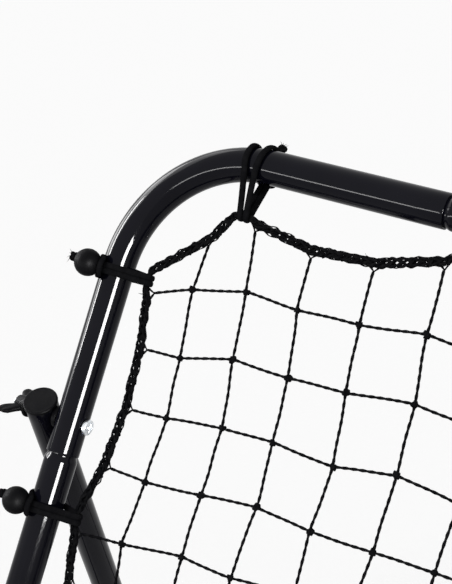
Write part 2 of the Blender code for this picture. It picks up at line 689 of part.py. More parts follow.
def strand_end(place, length, ties, at_ties, sag, corner):
    """A strand's end on one edge of the border: its place along that edge and its depth inside the tube.

    corner is the last point before the edge's end that a strand of this edge may take, so the two
    strands that end on one cut corner keep apart.
    """
    place = clear_of_ties(min(max(place, corner[0]), length - corner[0]), ties)
    from_end = min(place, length - place)
    if from_end >= ties[0]:
        return place, scalloped(place, ties, at_ties, sag)
    share = (ties[0] - from_end) / (ties[0] - corner[0])
    return place, at_ties[0] + (corner[1] - at_ties[0]) * share


def border_points():
    """Border points by key, as distances right of the left tube's axis and below the rail's axis.

    A key starts with its side and number: T, B, L and R hold the ends of the net's strands. TT, BT,
    LT and RT hold the two ends of each short straight stretch that a tie pulls on.
    """
    width, height = PANEL_WIDTH, net_height()
    columns = np.linspace(COLUMN_MARGIN, width - COLUMN_MARGIN, NET_COLUMNS)
    rows = np.linspace(ROW_MARGIN, height - ROW_MARGIN, NET_ROWS)
    rail_ties, side_ties = rail_tie_places(), side_tie_places()
    rail_depths, side_depths = rail_tie_lengths(), side_tie_lengths()
    last_column_end = on_corner_cut(2 / 3)
    last_row_end = on_corner_cut(1 / 3)[::-1]
    places = {}
    stretch = TIE_SPREAD_AT_BORDER + TIE_CORD_RADIUS + TIE_STRETCH_ROOM
    for number, x in enumerate(columns):
        x, depth = strand_end(x, width, rail_ties, rail_depths, TOP_SCALLOP, last_column_end)
        places["T", number] = (x, depth)
        places["B", number] = (x, height - depth)
    for number, y in enumerate(rows):
        for word, skewed in (("L", y + ROW_SKEW), ("R", y - ROW_SKEW)):
            end, depth = strand_end(skewed, height, side_ties, side_depths, SIDE_SCALLOP, last_row_end)
            places[word, number] = (depth if word == "L" else width - depth, end)
    for side, half in ((0, -stretch), (1, stretch)):
        for number, (x, depth) in enumerate(zip(rail_ties + half, rail_depths)):
            places["TT", number, side] = (x, depth)
            places["BT", number, side] = (x, height - depth)
        for number, (y, depth) in enumerate(zip(side_ties + half, side_depths)):
            places["LT", number, side] = (depth, y)
            places["RT", number, side] = (width - depth, y)
    return places


def knot_points(border):
    """Places of the knots, in balance between the pulls of their strands, and a little uneven."""
    number = {(r, c): r * NET_COLUMNS + c for r in range(NET_ROWS) for c in range(NET_COLUMNS)}
    pulls = np.zeros((len(number), len(number)))
    loads = np.zeros((len(number), 2))
    for (r, c), i in number.items():
        for key in ((r, c + 1), (r, c - 1), (r + 1, c), (r - 1, c)):
            if key in number:
                pulls[i, i] += 1
                pulls[i, number[key]] -= 1
                continue
            if key[0] in (-1, NET_ROWS):
                end, pull = border["T" if key[0] < 0 else "B", c], TOP_PULL
            else:
                end, pull = border["L" if key[1] < 0 else "R", r], SIDE_PULL
            pulls[i, i] += pull
            loads[i] += pull * np.array(end)
    drift = KNOT_DRIFT * np.sin(np.outer(np.arange(1, len(number) + 1) ** 2, KNOT_DRIFT_TURNS))
    knots = np.linalg.solve(pulls, loads) + drift
    return {("K", *key): tuple(knots[i]) for key, i in number.items()}


def border_order(places):
    """Keys of the border's points in their order round the net."""
    top = sorted((k for k in places if k[0] in ("T", "TT")), key=lambda k: places[k][0])
    right = sorted((k for k in places if k[0] in ("R", "RT")), key=lambda k: places[k][1])
    bottom = sorted((k for k in places if k[0] in ("B", "BT")), key=lambda k: -places[k][0])
    left = sorted((k for k in places if k[0] in ("L", "LT")), key=lambda k: -places[k][1])
    return top + right + bottom + left


def net_strands(order):
    """Pairs of keys that a strand or a stretch of border joins, with its width."""
    strands = [(a, b, BORDER_WIDTH) for a, b in zip(order, order[1:] + order[:1])]
    for r in range(NET_ROWS):
        row = [("L", r), *[("K", r, c) for c in range(NET_COLUMNS)], ("R", r)]
        strands += [(a, b, TWINE_WIDTH) for a, b in zip(row, row[1:])]
    for c in range(NET_COLUMNS):
        column = [("T", c), *[("K", r, c) for r in range(NET_ROWS)], ("B", c)]
        strands += [(a, b, TWINE_WIDTH) for a, b in zip(column, column[1:])]
    return strands


def mitre(here, first, first_half, second, second_half):
    """Corner between two strands that leave a point, where their facing edges meet."""
    first_edge = here + first_half * np.array([-first[1], first[0]])
    second_edge = here + second_half * np.array([second[1], -second[0]])
    cross = first[0] * second[1] - first[1] * second[0]
    if abs(cross) < 0.25:
        return (first_edge + second_edge) / 2
    gap = second_edge - first_edge
    return first_edge + first * (gap[0] * second[1] - gap[1] * second[0]) / cross


def net(material, parent):
    """The net as one closed body: square strands that share their corners at knots and border."""
    border = border_points()
    places = {**border, **knot_points(border)}
    flat = {key: np.array([x - HALF_WIDTH, HINGE_TO_TOP_RAIL - y]) for key, (x, y) in places.items()}
    leaving = {key: [] for key in flat}
    for a, b, width in net_strands(border_order(border)):
        leaving[a].append((b, width / 2))
        leaving[b].append((a, width / 2))
    points, corners, faces = [], {}, []
    for key, ends in leaving.items():
        here = flat[key]
        around = []
        for other, half in ends:
            way = (flat[other] - here) / np.linalg.norm(flat[other] - here)
            around.append((math.atan2(way[1], way[0]), tuple(way), half, other))
        around.sort()
        depth = (TWINE_WIDTH if key[0] == "K" else BORDER_DEPTH) / 2
        low = []
        for i, (_, way, half, other) in enumerate(around):
            _, next_way, next_half, next_other = around[(i + 1) % len(around)]
            corner = mitre(here, np.array(way), half, np.array(next_way), next_half)
            corners[key, other, "left"] = corners[key, next_other, "right"] = len(points)
            low.append(len(points))
            points += [(corner[0], -depth, corner[1]), (corner[0], depth, corner[1])]
        if len(low) > 2:
            faces.append(tuple(low))
            faces.append(tuple(index + 1 for index in low[::-1]))
    done = set()
    for key, ends in leaving.items():
        for other, _ in ends:
            if (other, key) in done:
                continue
            done.add((key, other))
            a, b = corners[key, other, "right"], corners[key, other, "left"]
            c, d = corners[other, key, "right"], corners[other, key, "left"]
            faces += [(a, b, c, d), (a + 1, d + 1, c + 1, b + 1), (a, d, d + 1, a + 1), (b, b + 1, c + 1, c)]
    return add_piece("net", points, faces, material, parent)


def tie_loop(spread, to_border):
    """One strand of a tie as (across the tube's axis, outward, towards the front) points.

    It runs round the tube and round the net's border like a belt round two wheels.
    """
    half = TIE_CORD_RADIUS * math.sqrt(math.pi) / 2
    steps = 5
    small = BORDER_WIDTH / 2 + TIE_ROOM_AT_BORDER + half
    big = TUBE_RADIUS + FIT_GAP + half
    leave = math.acos(-(big - small) / to_border)
    big /= math.cos(leave / steps)
    loop = []
    for turn in np.linspace(-leave, leave, steps + 1):
        loop.append((0.0, big * math.cos(turn), big * math.sin(turn)))
    inner_steps = 3
    small /= math.cos((math.pi - leave) / inner_steps)
    for turn in np.linspace(leave, 2 * math.pi - leave, inner_steps + 1):
        loop.append((0.0, small * math.cos(turn) - to_border, small * math.sin(turn)))
    points = []
    for _, outward, front in loop:
        share = min(max((outward + to_border) / to_border, 0.0), 1.0)
        across = TIE_SPREAD_AT_BORDER + (spread - TIE_SPREAD_AT_BORDER) * share
        points.append((across, outward, front))
    return np.array(points)


def tie(name, place, along, outward, spread, to_border, ball_turn, material, parent):
    """An elastic tie: two strands round the tube and the border, and the ball they hook over."""
    front = -Y_AXIS
    half = TIE_CORD_RADIUS * math.sqrt(math.pi) / 2
    points = tie_loop(spread, to_border)
    strands = []
    for sign in (-1, 1):
        path = place + np.outer(points[:, 0] * sign, along)
        path = path + np.outer(points[:, 1], outward) + np.outer(points[:, 2], front)
        ahead = np.roll(path, -1, axis=0) - path
        ahead /= np.linalg.norm(ahead, axis=1)[:, None]
        way = ahead + np.roll(ahead, 1, axis=0)
        way /= np.linalg.norm(way, axis=1)[:, None]
        rings = []
        for centre, tangent in zip(path, way):
            away = np.cross(tangent, along)
            away /= np.linalg.norm(away)
            beside = np.cross(away, tangent)
            rings.append([centre + away * a + beside * b for a, b in
                          ((half, half), (half, -half), (-half, -half), (-half, half))])
        word = name if sign < 0 else f"{name}_second_strand"
        strands.append(add_piece(word, np.concatenate(rings), skin(rings, closed=True), material, parent))
    reach = TUBE_RADIUS + FIT_GAP + TIE_BALL_LIFT + TIE_BALL_RADIUS
    centre = place + (outward * math.cos(ball_turn) + front * math.sin(ball_turn)) * reach
    mesh = bpy.data.meshes.new(f"{name}_ball")
    build = bmesh.new()
    bmesh.ops.create_icosphere(build, subdivisions=2, radius=TIE_BALL_RADIUS, matrix=Matrix.Translation(centre))
    build.to_mesh(mesh)
    build.free()
    ball = bpy.data.objects.new(f"{name}_ball", mesh)
    ball.parent = parent
    bpy.context.scene.collection.objects.link(ball)
    combine(strands[0], ball, "UNION")
    combine(strands[0], strands[1], "UNION")


def ties(material, panel):
    """All the ties: five on each bar, four on each side."""
    for word, height, way in (("top", HINGE_TO_TOP_RAIL, 1), ("bottom", CROSSBAR_ABOVE_HINGE, -1)):
        for number, (x, to_border) in enumerate(zip(rail_tie_places(), rail_tie_lengths()), 1):
            place = X_AXIS * (x - HALF_WIDTH) + Z_AXIS * height
            tie(
                f"{word}_tie_{number}", place, X_AXIS, Z_AXIS * way, RAIL_TIE_SPREAD,
                to_border, RAIL_BALL_TURN, material, panel,
            )
    for word, side in (("left", -1), ("right", 1)):
        for number, (y, to_border) in enumerate(zip(side_tie_places(), side_tie_lengths()), 1):
            place = X_AXIS * side * HALF_WIDTH + Z_AXIS * (HINGE_TO_TOP_RAIL - y)
            tie(
                f"{word}_tie_{number}", place, Z_AXIS, X_AXIS * side, SIDE_TIE_SPREAD,
                to_border, SIDE_BALL_TURN, material, panel,
            )


def main():
    for item in list(bpy.data.objects):
        bpy.data.objects.remove(item, do_unlink=True)
    steel = finish("gloss_black_steel", (0.012, 0.012, 0.014), 0.22)
    zinc = finish("zinc_steel", (0.70, 0.71, 0.72), 0.30, 1.0)
    black_plastic = finish("black_plastic", (0.020, 0.020, 0.021), 0.45)
    rubber = finish("black_rubber", (0.018, 0.018, 0.018), 0.80)
    twine = finish("black_twine", (0.015, 0.015, 0.016), 0.85)
    elastic = finish("black_elastic", (0.014, 0.014, 0.015), 0.70)

    hinge_line = (0, HINGE_Y, BASE_AXIS_HEIGHT)
    base = add_empty("base_frame", None, hinge_line)
    panel = add_empty("panel_hinge", None, hinge_line, -PANEL_LEAN)

    top_half = TOP_JOINT_X - FIT_GAP
    swaged_bar("top_rail", top_half, Z_AXIS * HINGE_TO_TOP_RAIL, steel, panel)
    crossbar(steel, panel)
    rear_half = RAIL_X - REAR_BAR_ARM - FIT_GAP
    swaged_bar("rear_bar", rear_half, Y_AXIS * REAR_BAR_BEHIND_HINGE, steel, base)
    for word, side in (("left", -1), ("right", 1)):
        upper_corner_tube(word, side, steel, panel)
        lower_side_tube(word, side, steel, panel)
        tube_end = X_AXIS * side * HALF_WIDTH - Z_AXIS * TUBE_BELOW_HINGE
        end_cap(f"side_tube_cap_{word}", tube_end, -Z_AXIS, black_plastic, panel)
        crossbar_bolt(word, side, zinc, panel)
        pivot_hardware(word, side, zinc, black_plastic, panel)
        pivot_seat = PROP_X + TUBE_RADIUS + FIT_GAP
        wing_nut(f"pivot_wing_nut_{word}", side, pivot_seat, PIVOT_HEIGHT, black_plastic, panel, PANEL_LEAN)
        prop(word, side, steel, zinc, black_plastic, panel)
        base_side(word, side, steel, base)
        hinge_hardware(word, side, zinc, base)
    feet(rubber, base)
    net(twine, panel)
    ties(elastic, panel)


main()
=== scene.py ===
# %% [markdown]
# # A rebound net, dressed over its CAD frame
# The real object is a light steel frame with a knotted net held in it by elastic ties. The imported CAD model
# fixes every size and place. This notebook replaces each CAD solid with a finer surface and a finish.
# Everything is in metres, with the net's kicking side facing -Y and Z pointing up.

import json
import math

import bpy
import numpy as np
from mathutils import Matrix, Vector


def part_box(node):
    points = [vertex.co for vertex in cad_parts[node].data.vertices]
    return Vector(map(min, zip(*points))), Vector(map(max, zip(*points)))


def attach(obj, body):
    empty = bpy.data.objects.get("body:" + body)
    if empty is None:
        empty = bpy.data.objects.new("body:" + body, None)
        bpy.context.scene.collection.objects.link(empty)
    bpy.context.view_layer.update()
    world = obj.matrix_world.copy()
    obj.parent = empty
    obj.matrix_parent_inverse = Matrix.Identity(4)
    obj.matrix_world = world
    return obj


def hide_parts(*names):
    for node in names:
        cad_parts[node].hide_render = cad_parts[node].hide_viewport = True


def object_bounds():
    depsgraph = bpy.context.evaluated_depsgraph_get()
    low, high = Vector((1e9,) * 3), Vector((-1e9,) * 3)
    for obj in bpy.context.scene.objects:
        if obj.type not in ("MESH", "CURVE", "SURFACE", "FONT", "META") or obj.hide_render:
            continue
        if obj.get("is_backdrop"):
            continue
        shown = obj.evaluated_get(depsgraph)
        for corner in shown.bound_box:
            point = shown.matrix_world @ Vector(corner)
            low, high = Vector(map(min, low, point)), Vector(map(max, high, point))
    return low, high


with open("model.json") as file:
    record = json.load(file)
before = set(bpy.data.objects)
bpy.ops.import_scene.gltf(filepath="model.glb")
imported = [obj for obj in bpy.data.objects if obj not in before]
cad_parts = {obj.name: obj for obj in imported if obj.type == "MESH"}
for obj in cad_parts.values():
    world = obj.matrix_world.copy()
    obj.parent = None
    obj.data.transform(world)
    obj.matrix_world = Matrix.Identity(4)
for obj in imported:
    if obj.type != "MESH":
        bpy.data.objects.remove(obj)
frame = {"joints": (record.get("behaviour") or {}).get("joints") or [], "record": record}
cad_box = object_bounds()
X, Y, Z = np.eye(3)
print("CAD box:", [round(value, 4) for corner in cad_box for value in corner])

# %% [markdown]
# ## Where things are
# The panel leans back on its hinge line, and the two props hang from the pivots on its sides. Three sets of
# axes do for all of it: the ground's, the panel's and the props'. They are read from the joints and the top
# rail's box, so each piece can be worked out upright and then turned into its place.

# %% Axes of the panel, the props and the base
joint_place = {joint["name"]: np.array(joint["pos_m"], float) for joint in frame["joints"]}
hinge = joint_place["panel_tilt"]
prop_pivot, prop_foot = joint_place["prop_swing_left"], joint_place["foot_nut_turn_left"]
slope = np.mean(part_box("top_rail"), axis=0) - hinge
HINGE_TO_TOP_RAIL = float(np.hypot(slope[1], slope[2]))
LEAN = math.atan2(slope[1], slope[2])
prop_way = prop_foot - prop_pivot
PROP_SPAN = float(np.hypot(prop_way[1], prop_way[2]))
PROP_ANGLE = math.atan2(prop_way[1], -prop_way[2])
PROP_X, RAIL_X = abs(float(prop_pivot[0])), abs(float(prop_foot[0]))
SIDES = (("left", -1), ("right", 1))


def axes_turned(angle):
    """Rows are the axes of a frame turned by an angle about X: x, y and z of that frame."""
    cosine, sine = math.cos(angle), math.sin(angle)
    return np.array([[1, 0, 0], [0, cosine, sine], [0, -sine, cosine]])


PANEL_AXES = axes_turned(-LEAN)
PROP_AXES = axes_turned(PROP_ANGLE)


def on_panel(points):
    """From the panel's frame, x across, y back through it, z up its slope, to the ground's frame."""
    return hinge + points @ PANEL_AXES


def on_base(points):
    """From the base's frame, which starts at the middle of the hinge line, to the ground's frame."""
    return hinge + points


def on_prop(side):
    """From a prop's frame, z up along it from its pivot, to the ground's frame."""
    pivot = np.array([side * PROP_X, *prop_pivot[1:]])
    return lambda points: pivot + points @ PROP_AXES


print(f"lean {math.degrees(LEAN):.1f} degrees, rail {HINGE_TO_TOP_RAIL:.3f} m up the slope")

# %% [markdown]
# ## The camera
# A camera could be placed by eye, but straight tubes tell more: their edges run to vanishing points. Fitting
# those edges gave the lens, the three turns and the camera's place from the panel's top left corner.

# %% Camera
HALF_WIDTH = 0.4075
CAMERA_FROM_CORNER = np.array([0.4953, -0.7501, 0.2995])
CAMERA_YAW, CAMERA_PITCH, CAMERA_ROLL = np.radians([29.787, 25.151, 3.201])
LENS, SENSOR = 77.91, 36.0


def linked(name, data):
    """A new object with this data, in the scene."""
    made = bpy.data.objects.new(name, data)
    bpy.context.scene.collection.objects.link(made)
    return made


def set_up(item, place, axes):
    """Puts an object at a place with its own x, y and z along three axes."""
    turn = Matrix([list(row) for row in np.stack(axes, axis=1)]).to_4x4()
    item.matrix_world = Matrix.Translation(place) @ turn


corner = on_panel(np.array([-HALF_WIDTH, 0.0, HINGE_TO_TOP_RAIL]))
level_right = np.array([math.cos(CAMERA_YAW), math.sin(CAMERA_YAW), 0.0])
ahead = np.cross(Z, level_right) * math.cos(CAMERA_PITCH) - Z * math.sin(CAMERA_PITCH)
level_up = np.cross(level_right, ahead)
right = level_right * math.cos(CAMERA_ROLL) + level_up * math.sin(CAMERA_ROLL)
up = level_up * math.cos(CAMERA_ROLL) - level_right * math.sin(CAMERA_ROLL)
camera_data = bpy.data.cameras.new("camera")
camera_data.lens = LENS
camera_data.sensor_width = SENSOR
camera = linked("camera", camera_data)
set_up(camera, corner + CAMERA_FROM_CORNER, [right, up, -ahead])
bpy.context.scene.camera = camera
print("camera at", [round(float(value), 3) for value in corner + CAMERA_FROM_CORNER])

# %% [markdown]
# ## Surfaces from numbers
# Blender could lathe and sweep these shapes with its own tools. Here every surface is a grid of points
# instead, rings one behind the other, worked out as whole arrays. One function turns rings into a skin of
# faces, another turns such skins into a piece. That keeps each shape down to its formula.

# %% Rings and skins
QUAD_CORNERS = ((0, 0), (0, 1), (1, 1), (1, 0))


def unit(vectors):
    """Vectors divided by their lengths."""
    return vectors / np.linalg.norm(vectors, axis=-1, keepdims=True)


def full_turn(count):
    """Equal angles once round: the number of each over the count, times two pi."""
    return np.arange(count) * (2 * math.pi / count)


def smooth(value):
    """Eases a share from 0 to 1: three squares less two cubes."""
    share = np.clip(value, 0.0, 1.0)
    return share * share * (3 - 2 * share)


def ring_points(centre, across, normal, a, b):
    """Rings of points: at each centre a times across plus b times normal, a and b being ring by point."""
    centre, across, normal = (np.atleast_2d(vectors)[:, None] for vectors in (centre, across, normal))
    return centre + a[..., None] * across + b[..., None] * normal


def skin(rings, along, loop=False, finish=0):
    """A closed skin over rings, an array of ring by point by xyz.

    Each quad joins neighbours in a ring and in the next ring. In a loop the last ring joins the first, and
    otherwise a fan of triangles closes each end. U runs once round a ring and V is along, in metres. Faces
    point outwards: they are turned over where the sum of first . (second x third) is negative.
    """
    count, sides = rings.shape[:2]
    here = np.arange(count if loop else count - 1)[:, None]
    side = np.arange(sides)[None, :]
    quads = np.stack([(here + a) % count * sides + (side + b) % sides for a, b in QUAD_CORNERS], axis=-1)
    quads = quads.reshape(-1, 4)
    along = np.append(along, along[-1] + np.abs(along[-1] - along[-2])) if loop else along
    quad_uv = [np.stack(np.broadcast_arrays((side + b) / sides, along[here + a]), axis=-1)
               for a, b in QUAD_CORNERS]
    quad_uv = np.stack(quad_uv, axis=2).reshape(-1, 4, 2)
    points = rings.reshape(-1, 3)
    tris, tri_uv = np.zeros((0, 3), int), np.zeros((0, 3, 2))
    if not loop:
        points = np.vstack([points, rings[0].mean(axis=0), rings[-1].mean(axis=0)])
        j = np.arange(sides)
        k = (j + 1) % sides
        last = (count - 1) * sides
        first_fan = np.stack([np.full(sides, count * sides), k, j], axis=1)
        last_fan = np.stack([np.full(sides, count * sides + 1), last + j, last + k], axis=1)
        tris = np.concatenate([first_fan, last_fan])
        u, v = np.tile(j / sides, 2), np.repeat([along[0], along[-1]], sides)
        tri_uv = np.stack([np.stack([u + step / sides, v], axis=-1) for step in (0.5, 0, 1)], axis=1)
    volume = sum(np.einsum("ij,ij->i", points[a], np.cross(points[b], points[c])).sum()
                 for a, b, c in (quads[:, :3].T, quads[:, [0, 2, 3]].T, tris.T))
    if volume < 0:
        quads, quad_uv, tris, tri_uv = (corners[:, ::-1] for corners in (quads, quad_uv, tris, tri_uv))
    uv = np.concatenate([quad_uv.reshape(-1, 2), tri_uv.reshape(-1, 2)])
    return {"points": points, "quads": quads, "tris": tris, "uv": uv, "finish": finish}


prism = skin(np.stack([np.eye(3), np.eye(3) + 1]), np.array([0.0, 1.0]))
print("a skin over two rings of three:", len(prism["quads"]), "quads,", len(prism["tris"]), "triangles")

# %% [markdown]
# ## Pieces
# A piece could be one object for each skin, but then a tie would be ten objects. Here all the skins of one
# CAD node become one mesh, whose points already stand in their place. The frame says on which body each
# piece rides.

# %% Pieces
group_of = {node: body for body, nodes in frame["record"]["behaviour"]["bodies"].items() for node in nodes}
pieces = []


def piece(name, stands_for, skins, finishes, place=on_panel, crease=40.0):
    """One object from skins put through place. It rides on its CAD node's body and stands for that node."""
    starts = np.cumsum([0] + [len(part["points"]) for part in skins[:-1]])
    faces = []
    for start, part in zip(starts, skins):
        faces += (part["quads"] + start).tolist() + (part["tris"] + start).tolist()
    mesh = bpy.data.meshes.new(name)
    mesh.from_pydata(place(np.concatenate([part["points"] for part in skins])).tolist(), [], faces)
    uv = np.concatenate([part["uv"] for part in skins])
    mesh.uv_layers.new(name="UVMap").data.foreach_set("uv", uv.ravel())
    for material in finishes:
        mesh.materials.append(material)
    counts = [len(part["quads"]) + len(part["tris"]) for part in skins]
    numbers = np.repeat([part["finish"] for part in skins], counts)
    mesh.polygons.foreach_set("material_index", numbers.astype(np.int32))
    mesh.shade_smooth()
    mesh.set_sharp_from_angle(angle=math.radians(crease))
    made = linked(name, mesh)
    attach(made, group_of[stands_for])
    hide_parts(stands_for)
    pieces.append(made)
    return made


# %% [markdown]
# ## Finishes
# A black frame on a white ground lives from its gloss. Each finish is a Principled shader whose colour,
# roughness and bump vary a little through noise in the object's own space, so a pattern stays on its piece.
# Twine and elastic take their lay from the UV map instead, which runs round and along each strand.


# %% Node helpers
def new_finish(name, colour, roughness, **sockets):
    """A material, its node tree and its shader. Extra keywords set sockets, with _ for each space."""
    material = bpy.data.materials.new(name)
    material.use_nodes = True
    shader = material.node_tree.nodes["Principled BSDF"]
    shader.inputs["Base Color"].default_value = (*colour, 1.0)
    shader.inputs["Roughness"].default_value = roughness
    for socket, value in sockets.items():
        shader.inputs[socket.replace("_", " ")].default_value = value
    material.diffuse_color = (*colour, 1.0)
    return material, material.node_tree, shader


def node(tree, kind, links=(), numbers=(), **values):
    """A node. links and numbers are (socket, output or value) pairs, and values are its own settings."""
    made = tree.nodes.new(kind)
    for name, value in values.items():
        setattr(made, name, value)
    for socket, number in numbers:
        made.inputs[socket].default_value = number
    for socket, output in links:
        tree.links.new(output, made.inputs[socket])
    return made


def calculated(tree, operation, first, second=None, number=0.5):
    """A Math node's result, from one or two outputs, or from an output and a number."""
    links = [(0, first)] + ([(1, second)] if second else [])
    return node(tree, "ShaderNodeMath", links, [(1, number)], operation=operation).outputs[0]


def speckle(tree, scale, detail=3.0):
    """Noise in the object's space, with scale in cycles a metre."""
    place = node(tree, "ShaderNodeTexCoord").outputs["Object"]
    numbers = [("Scale", scale), ("Detail", detail), ("Roughness", 0.55)]
    return node(tree, "ShaderNodeTexNoise", [("Vector", place)], numbers).outputs["Fac"]


def stretched(tree, value, low, high, low_out, high_out):
    """A value mapped in a straight line from low..high to low_out..high_out."""
    numbers = [("From Min", low), ("From Max", high), ("To Min", low_out), ("To Max", high_out)]
    return node(tree, "ShaderNodeMapRange", [("Value", value)], numbers).outputs["Result"]


def lay(tree, turns, per_metre):
    """A sine wave over the UV map: turns cycles round the strand plus per_metre cycles along it."""
    uv = node(tree, "ShaderNodeTexCoord").outputs["UV"]
    split = node(tree, "ShaderNodeSeparateXYZ", [("Vector", uv)])
    round_it = calculated(tree, "MULTIPLY", split.outputs["X"], number=2 * math.pi * turns)
    along_it = calculated(tree, "MULTIPLY", split.outputs["Y"], number=2 * math.pi * per_metre)
    return calculated(tree, "SINE", calculated(tree, "ADD", round_it, along_it))


# %% [markdown]
# ## Uneven finishes
# No coated, moulded or plated face is quite even: its colour and its gloss change a little from place to
# place. A painted image could carry that, but noise needs no image and no unwrapping. One function makes all
# the finishes below, from two colours, two roughnesses and a list of bumps.

# %% Patchy finish
NOISE_LOW, NOISE_HIGH = 0.3, 0.7


def patchy_finish(name, colours, colour_scale, roughs, rough_scale, bumps, **sockets):
    """A finish whose colour and roughness drift between two values with noise, under chained bumps.

    colours and roughs are (plain, low, high), the plain one for the viewport. bumps is a function of the
    node tree that gives (value, strength, depth in metres) for each bump.
    """
    material, tree, shader = new_finish(name, colours[0], roughs[0], **sockets)
    ramp = node(tree, "ShaderNodeValToRGB", [("Fac", speckle(tree, colour_scale))])
    for stop, position, colour in zip(ramp.color_ramp.elements, (NOISE_LOW, NOISE_HIGH), colours[1:]):
        stop.position = position
        stop.color = (*colour, 1.0)
    tree.links.new(ramp.outputs["Color"], shader.inputs["Base Color"])
    roughness = stretched(tree, speckle(tree, rough_scale), NOISE_LOW, NOISE_HIGH, *roughs[1:])
    tree.links.new(roughness, shader.inputs["Roughness"])
    normal = []
    for value, strength, depth in bumps(tree):
        bump = node(tree, "ShaderNodeBump", [("Height", value)] + normal,
                    [("Strength", strength), ("Distance", depth)])
        normal = [("Normal", bump.outputs["Normal"])]
    tree.links.new(normal[0][1], shader.inputs["Normal"])
    return material


# %% [markdown]
# ## Gloss black coating
# The tubes are coated in a deep gloss black with a faint orange peel, which breaks up the long highlights. A
# mirror would look like plastic film, so the roughness drifts and the peel is a shallow bump at about 2 mm.

# %% Gloss black
gloss_black = patchy_finish(
    "gloss_black_coating", ((0.004, 0.004, 0.007), (0.003, 0.003, 0.006), (0.005, 0.005, 0.009)), 18,
    (0.07, 0.055, 0.085), 60,
    lambda tree: [(speckle(tree, 450, 1.0), 0.03, 0.0002), (speckle(tree, 40, 1.0), 0.04, 0.001)],
    Specular_IOR_Level=0.12,
)
print("nodes in the gloss black:", len(gloss_black.node_tree.nodes))

# %% [markdown]
# ## Bright zinc
# Bolts are zinc plated: bright, slightly blue, with fine turning marks round the head. The marks follow V,
# which on a turned piece runs from the middle of the head outwards.

# %% Zinc
zinc = patchy_finish(
    "bright_zinc", ((0.72, 0.75, 0.78), (0.68, 0.72, 0.76), (0.80, 0.82, 0.84)), 300, (0.24, 0.22, 0.30), 500,
    lambda tree: [(lay(tree, 0, 2200), 0.02, 0.0001), (speckle(tree, 300, 1.0), 0.02, 0.0002)],
    Metallic=1.0,
)
print("nodes in the zinc:", len(zinc.node_tree.nodes))

# %% [markdown]
# ## Moulded plastic and rubber
# Caps, spacers and wing nuts are moulded with a fine spark texture, duller than the tubes. The balls are
# smoother and the feet softer and duller still. All are one idea at different scales: a fine bump and a
# patchy roughness.


# %% Plastic, ball plastic and rubber
def moulded(name, dark, light, rough_low, rough_high, grain, strength, level):
    """A moulded black material: patchy colour and roughness over a fine grain."""
    return patchy_finish(name, (dark, dark, light), 35, (rough_high, rough_low, rough_high), 140,
                         lambda tree: [(speckle(tree, grain, 2.0), strength, 0.0003)],
                         Specular_IOR_Level=level)


black_plastic = moulded("moulded_black_plastic", (0.005, 0.005, 0.006), (0.008, 0.008, 0.009),
                        0.34, 0.46, 2600, 0.10, 0.03)
ball_plastic = moulded("ball_black_plastic", (0.004, 0.004, 0.005), (0.007, 0.007, 0.008),
                       0.44, 0.54, 1500, 0.06, 0.025)
foot_rubber = moulded("black_rubber", (0.009, 0.009, 0.009), (0.018, 0.017, 0.017),
                      0.70, 0.88, 1100, 0.40, 0.03)
print("moulded:", [material.name for material in (black_plastic, ball_plastic, foot_rubber)])

# %% [markdown]
# ## Twine and elastic
# The net is twisted twine, so its bump winds round the strand. The ties are braided elastic: two sets of
# threads that wind in opposite directions, whose waves are multiplied into small diamonds. Neither shines,
# so their specular level is zero.


# %% Twine and elastic
def diamonds(tree):
    """Two lays of opposite hand, multiplied."""
    return calculated(tree, "MULTIPLY", lay(tree, 6, 330), lay(tree, 6, -330))


net_twine = patchy_finish(
    "twisted_black_twine", ((0.007, 0.007, 0.008), (0.004, 0.004, 0.005), (0.013, 0.013, 0.014)), 300,
    (0.78, 0.66, 0.88), 500,
    lambda tree: [(lay(tree, 2, 310), 0.5, 0.0003), (speckle(tree, 2500), 0.3, 0.0002)],
    Specular_IOR_Level=0.0,
)
tie_elastic = patchy_finish(
    "braided_black_elastic", ((0.007, 0.007, 0.008), (0.006, 0.006, 0.007), (0.011, 0.011, 0.012)), 200,
    (0.60, 0.50, 0.70), 700,
    lambda tree: [(diamonds(tree), 0.35, 0.0002), (speckle(tree, 2600), 0.15, 0.0002)],
    Specular_IOR_Level=0.0,
)
print("finishes:", [material.name for material in bpy.data.materials if material.use_nodes])

# %% [markdown]
# ## Steel tube
# Every tube is 25 mm across and thin walled. A tube could be a cylinder with a bevel. Here it is a profile of
# radii carried along an axis, out along the outside and back along the bore, so the rim at its end has a
# real thickness and a small round edge that catches the light.

# %% Sizes, rims and axes of tubes
TUBE_RADIUS = 0.0125
TUBE_WALL = 0.0012
BEND_RADIUS = 0.098
BEND_ARC = BEND_RADIUS * math.pi / 2
GAP = 0.0003
BORE_RADIUS = TUBE_RADIUS - TUBE_WALL
NECK_RADIUS = BORE_RADIUS - GAP
NECK_LENGTH = 0.045
SHOULDER_LENGTH = 0.005
RIM = 0.0004
SHOULDER_RINGS = (0.007, 17)
BEND_RINGS = (BEND_ARC / 2, 33)


def with_rims(places, start, end):
    """Places along a tube with close pairs at both ends for the round rim."""
    rims = np.array([0, 0.08, 0.3, 1.0]) * RIM
    inside = places[(places > start + 2 * RIM) & (places < end - 2 * RIM)]
    return np.concatenate([start + rims, inside, end - rims[::-1]])


def rim_drop(places, start, end):
    """How much the rim's round edge takes off the radius: a quarter circle of radius RIM."""
    near = np.clip(np.minimum(places - start, end - places) / RIM, 0, 1)
    return RIM * 0.7 * (1 - np.sqrt(1 - (1 - near) ** 2))


def straight_axis(origin, way, across):
    """A straight line as a function of distance: centres with the two directions across it."""
    return lambda places: (origin + places[:, None] * way, across, np.cross(across, way))


